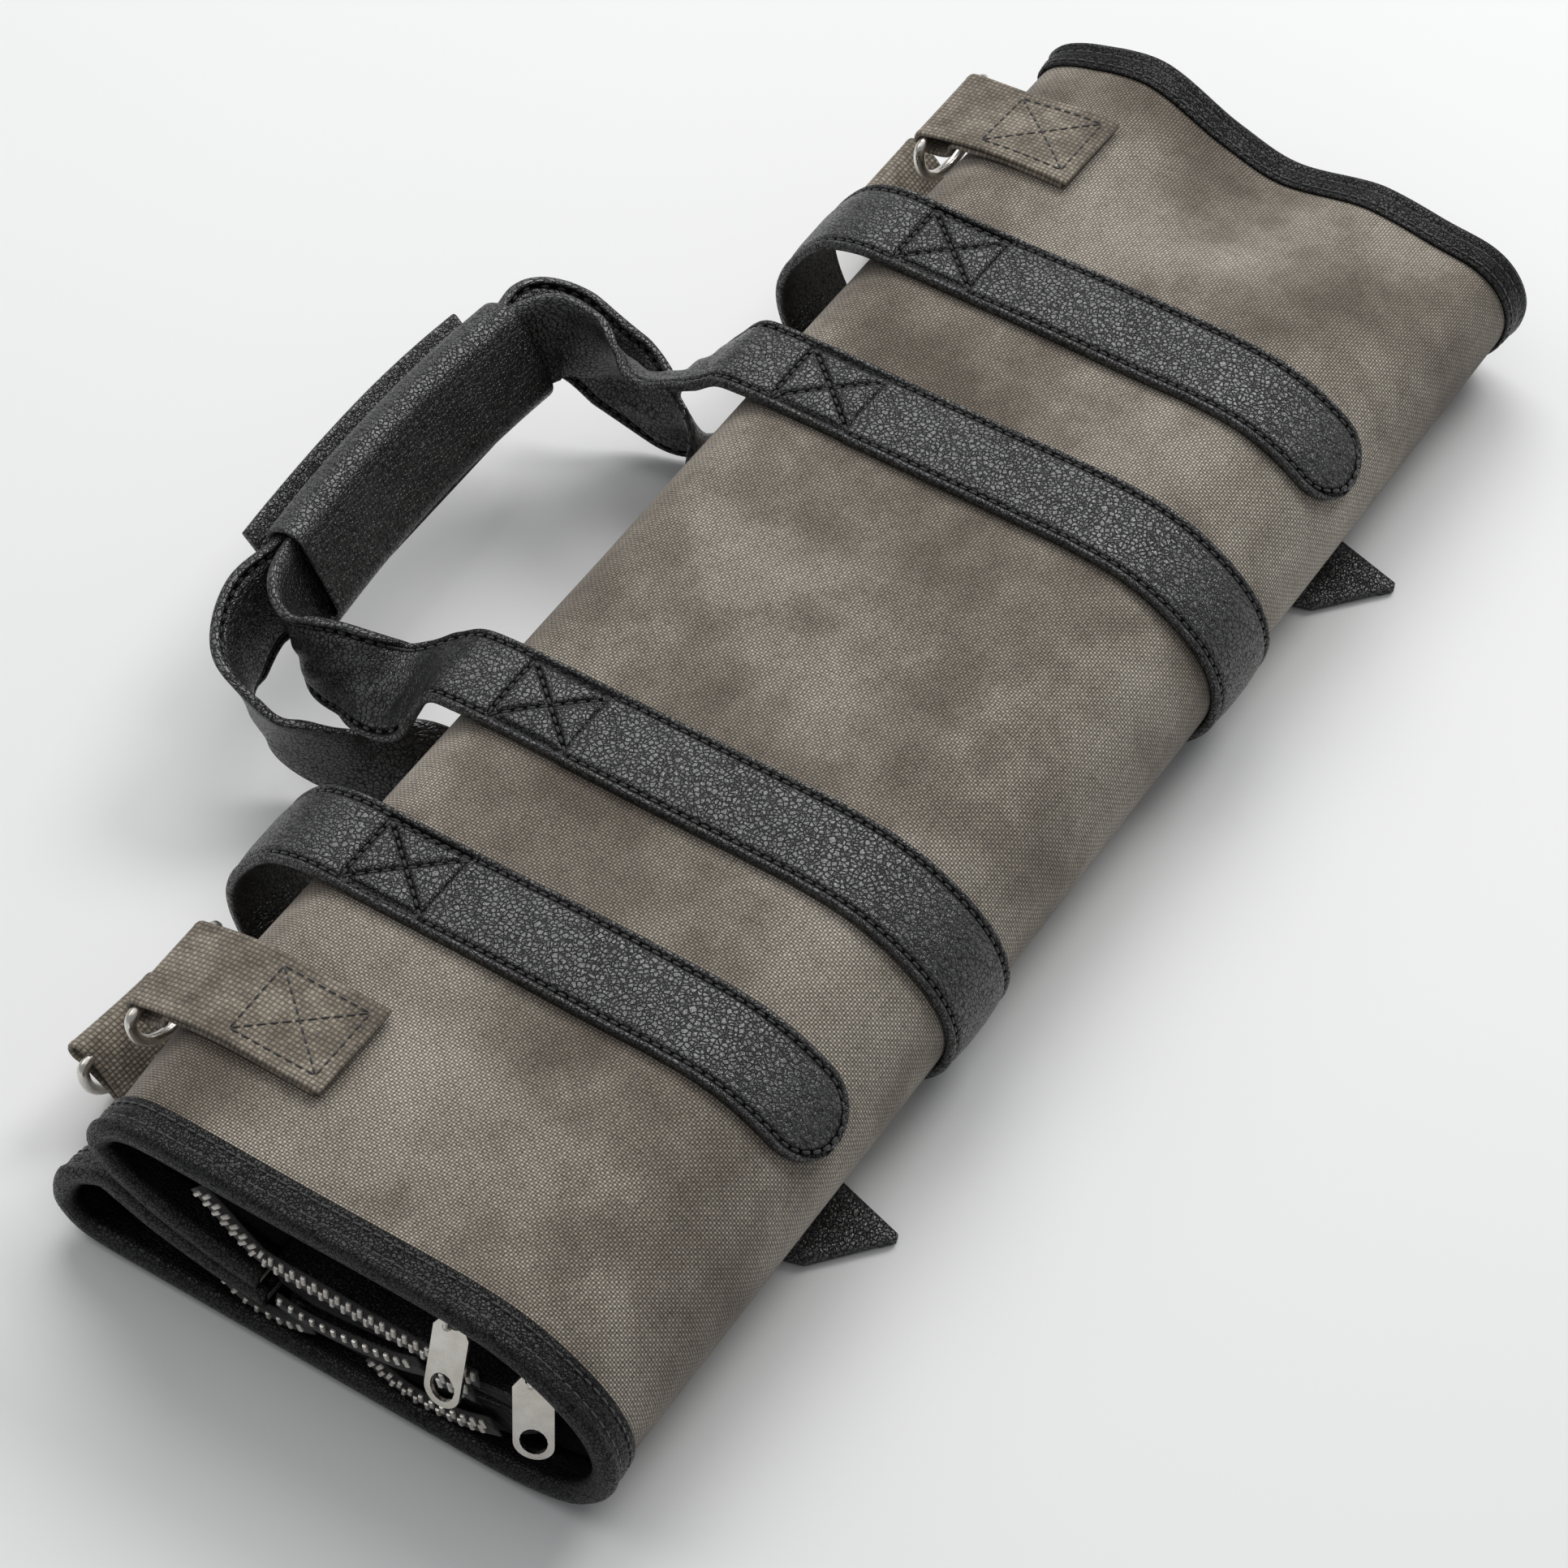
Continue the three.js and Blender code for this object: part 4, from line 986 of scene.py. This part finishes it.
def make_pocket(name, node, outline, start):
    """A filled leather pocket: its outline carried along the roll, drawn in round its front face."""
    closed = np.array(outline + outline[:1], float)
    line = curve(closed, 1.6)[:-1]
    centre = line.mean(0)
    inward = unit(centre - line)
    x = np.concatenate([[MOUTH + start + a for a in POCKET_FRONT],
                        np.linspace(MOUTH + start + 6, FAR_INSIDE, 60)])
    pull = [*POCKET_FRONT.values()] + [0.0] * 60
    points, flat = [], []
    for at, inset in zip(x, pull):
        wave = 0.35 * np.sin(line[:, 0] / 7.0 + at / 21)
        ring = line + inward * (inset + 0.2 + 0.2 * wave[:, None])
        points.append(np.column_stack([np.full(len(ring), at + 0.5 * wave * (inset > 0)), ring]))
        run = np.arange(len(ring)) * 1.6
        flat.append(np.column_stack([run, np.full(len(ring), at), np.full(len(ring), inset)]))
    faces = ring_faces(len(x), len(line))
    piece = mesh_piece(name, np.vstack(points), faces, np.vstack(flat), SKINS["pocket"])
    fit_on(piece, "roll", node)


def make_pockets():
    make_pocket("middle_pocket_leather", "middle_pocket", MIDDLE_POCKET, 5)
    make_pocket("lower_pocket_leather", "lower_pocket", LOWER_POCKET, 6)
    ribbon = Ribbon(in_plane(0, curve(UPPER_SHEET, 2.0)))
    u = np.linspace(MOUTH + 16, FAR_INSIDE, 80)
    section = [(a, 0.7) for a in u] + [(a, -0.7) for a in u[::-1]]
    piece = sweep("upper_pocket_leather", ribbon, section, SKINS["pocket"])
    fit_on(piece, "roll", "upper_pocket_panel")


# A tooth: a block that stands straight to 0.55 of its height, then narrows to its face.
TOOTH = np.array([(a * size, b * narrow, h)
                  for size, narrow, h in ((1, 1, 0), (1, 1, 0.55), (0.72, 0.86, 1))
                  for a, b in ((-1, -1), (1, -1), (1, 1), (-1, 1))], float)
TOOTH_FACES = ring_faces(3, 4)


def tooth_points(rows):
    """Teeth as small bevelled blocks. rows: middle, along, across and out directions, size."""
    points, faces = [], []
    for middle, along, across, out, size in rows:
        local = TOOTH * size
        start = len(points) * len(TOOTH)
        points.append(middle + local[:, 0:1] * along + local[:, 1:2] * across + local[:, 2:3] * out)
        faces += [tuple(start + k for k in face) for face in TOOTH_FACES]
    return np.vstack(points), faces


TOOTH_PITCH = 3.6
TOOTH_HALF, TOOTH_RISE = 0.64, 0.95
TEETH = {"closed": [(-1, 0.0), (1, 0.5)], "left": [(1, 0.0)], "right": [(-1, 0.0)]}
# Each zip's depth behind the mouth, teeth, half width and course in [y, z].
ZIPS = {
    "upper_zip_chain": (11.9, "closed", 1.9, [(48, 58.4), (10, 58.4), (-28, 58.4)]),
    "spine_zip_chain": (11.9, "closed", 1.9, [(-31, 58), (-40, 53.5), (-55, 46)]),
    "middle_zip_chain": (3.0, "closed", 2.1, [(60, 55), (54, 50), (47, 43), (41, 38.5), (20, 37.5), (0, 37),
                                              (-28, 38)]),
    "lower_zip_upper_teeth": (2.5, "left", 1.6, [(38, 21), (28, 19.6), (18, 20.6), (8, 22.4), (-2, 25),
                                                 (-10, 29)]),
    "lower_zip_closed_chain": (2.5, "closed", 2.2, [(-14, 28.4), (-20, 29.8), (-26, 30.6)]),
    "lower_zip_lower_teeth": (3.0, "right", 1.5, [(56, 17), (50, 12.6), (43, 11.2), (34, 13), (28, 16)]),
    "bottom_zip_chain": (3.0, "closed", 1.7, [(8, 17.5), (2, 13.6), (-5, 11.6), (-13, 11.8), (-23, 14),
                                              (-32, 18.5)]),
}


def make_zip(node, depth, kind, width, outline):
    """A zip that faces the near end: cloth tape with a raised cord and metal teeth."""
    x = MOUTH + depth
    line = in_plane(x, curve(outline, 0.9))
    across = np.cross(unit(np.gradient(line, axis=0)), [1.0, 0, 0])
    ribbon = Ribbon(line, across, give=False)
    if ribbon.outs[0][0] > 0:
        ribbon.outs = -ribbon.outs
    half = width + 1.9
    rise = [(half, -0.3), (half, 0.1), (width * 0.6, 0.15), (0.6, 0.55)]
    section = [(-u, w) for u, w in rise] + rise[::-1]
    tape = sweep(node + "_tape", ribbon, section, SKINS["tape"])
    fit_on(tape, "roll", node)
    out = np.array([-1.0, 0, 0])
    rows = []
    for side, shift in TEETH[kind]:
        count = int(ribbon.length / TOOTH_PITCH)
        for i in range(count):
            v = np.array([(i + 0.4 + shift) * TOOTH_PITCH])
            if v[0] > ribbon.length - 0.6:
                continue
            middle = ribbon.point([side * width * 0.62], v, [0.25])[0]
            along = unit(ribbon.point([0], v + 0.5, [0])[0] - ribbon.point([0], v - 0.5, [0])[0])
            aside = unit(np.cross(along, out))
            rows.append((middle, along, aside, out, np.array([TOOTH_HALF, width * 0.78, TOOTH_RISE])))
    points, faces = tooth_points(rows)
    teeth = mesh_piece(node + "_teeth", points, faces, points, SKINS["teeth"], smooth=False)
    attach(teeth, "roll")


def make_zips():
    for node, details in ZIPS.items():
        make_zip(node, *details)


def dress_frame_pieces():
    """A better finish for the CAD nodes that keep their own shape."""
    for node in ("grip_strap_upper", "grip_strap_lower"):
        dress(node, LEATHER_CAD)
    for prefix in ("snap_stud", "snap_cap"):
        for end in ENDS:
            dress(f"{prefix}_{end}", NICKEL_CAD)
    for kind in ("slider", "link", "pull"):
        for which in ("upper", "spine"):
            dress(f"{kind}_{which}", NICKEL_CAD)


def dress(node, finish):
    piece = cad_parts[node]
    if not piece.data.materials:
        piece.data.materials.append(finish)
    for slot in piece.material_slots:
        slot.link = "OBJECT"
        slot.material = finish


# ---- camera, light and floor ----
def make_camera():
    data = bpy.data.cameras.new("camera")
    data.sensor_width = 36
    data.lens = 114.04
    data.clip_start, data.clip_end = 0.05, 20
    camera = bpy.data.objects.new("camera", data)
    right, up, back = (0.5481, -0.8363, -0.0118), (0.6552, 0.4206, 0.6275), (-0.5198, -0.3517, 0.7785)
    turn = Matrix((right, up, back)).transposed().to_4x4()
    camera.matrix_world = Matrix.Translation((-0.7573, -0.5289, 1.1190)) @ turn
    bpy.context.scene.collection.objects.link(camera)
    bpy.context.scene.camera = camera


LIGHTS = {                   # place, width in metres and power in watts
    "key": ((1.65, -0.50, 1.85), 1.0, 25),
    "sheen": ((1.22, 0.78, 1.86), 1.7, 27),
    "fill": ((-0.6, 1.5, 1.8), 1.6, 8),
    "ceiling": ((0, 0, 2.6), 3.0, 14),
}
FLOOR_REACH = 6.0


def area_light(name, place_at, size, power):
    """A soft round light that faces the roll's middle."""
    data = bpy.data.lights.new(name, "AREA")
    data.shape = "DISK"
    data.size, data.energy = size, power
    light = bpy.data.objects.new(name, data)
    light.location = place_at
    light.rotation_euler = (-Vector(place_at)).to_track_quat("-Z", "Y").to_euler()
    bpy.context.scene.collection.objects.link(light)


def make_studio():
    world = bpy.data.worlds.new("studio")
    world.use_nodes = True
    world.node_tree.nodes["Background"].inputs[0].default_value = (0.95, 0.97, 1.0, 1)
    world.node_tree.nodes["Background"].inputs[1].default_value = 0.32
    bpy.context.scene.world = world
    for name, details in LIGHTS.items():
        area_light(name, *details)
    bpy.context.scene.view_settings.view_transform = "Standard"
    data = bpy.data.meshes.new("floor")
    corners = [(a * FLOOR_REACH, b * FLOOR_REACH, 0) for a, b in ((-1, -1), (1, -1), (1, 1), (-1, 1))]
    data.from_pydata(corners, [], [(0, 1, 2, 3)])
    floor = bpy.data.objects.new("floor", data)
    floor.location.z = -0.0002
    bpy.context.scene.collection.objects.link(floor)
    finish = Finish("floor", 0.55)
    vector = finish.node("TexCoord").outputs["Object"]
    cloud = finish.noise(vector, 2.0, 3.0)
    finish.drive("Base Color", finish.blend(cloud, (0.66, 0.66, 0.655, 1), (0.72, 0.72, 0.715, 1)))
    data.materials.append(finish.material)


make_camera()
make_studio()
for end, side in ENDS.items():
    make_carry(end, side)
    make_closure(end, side)
    make_leg(f"leg_upper_{end}", end, side, True)
    make_leg(f"leg_lower_{end}", end, side, False)
make_shell()
make_grip()
sew_grip()
make_flap()
make_tabs()
make_pockets()
make_zips()
dress_frame_pieces()
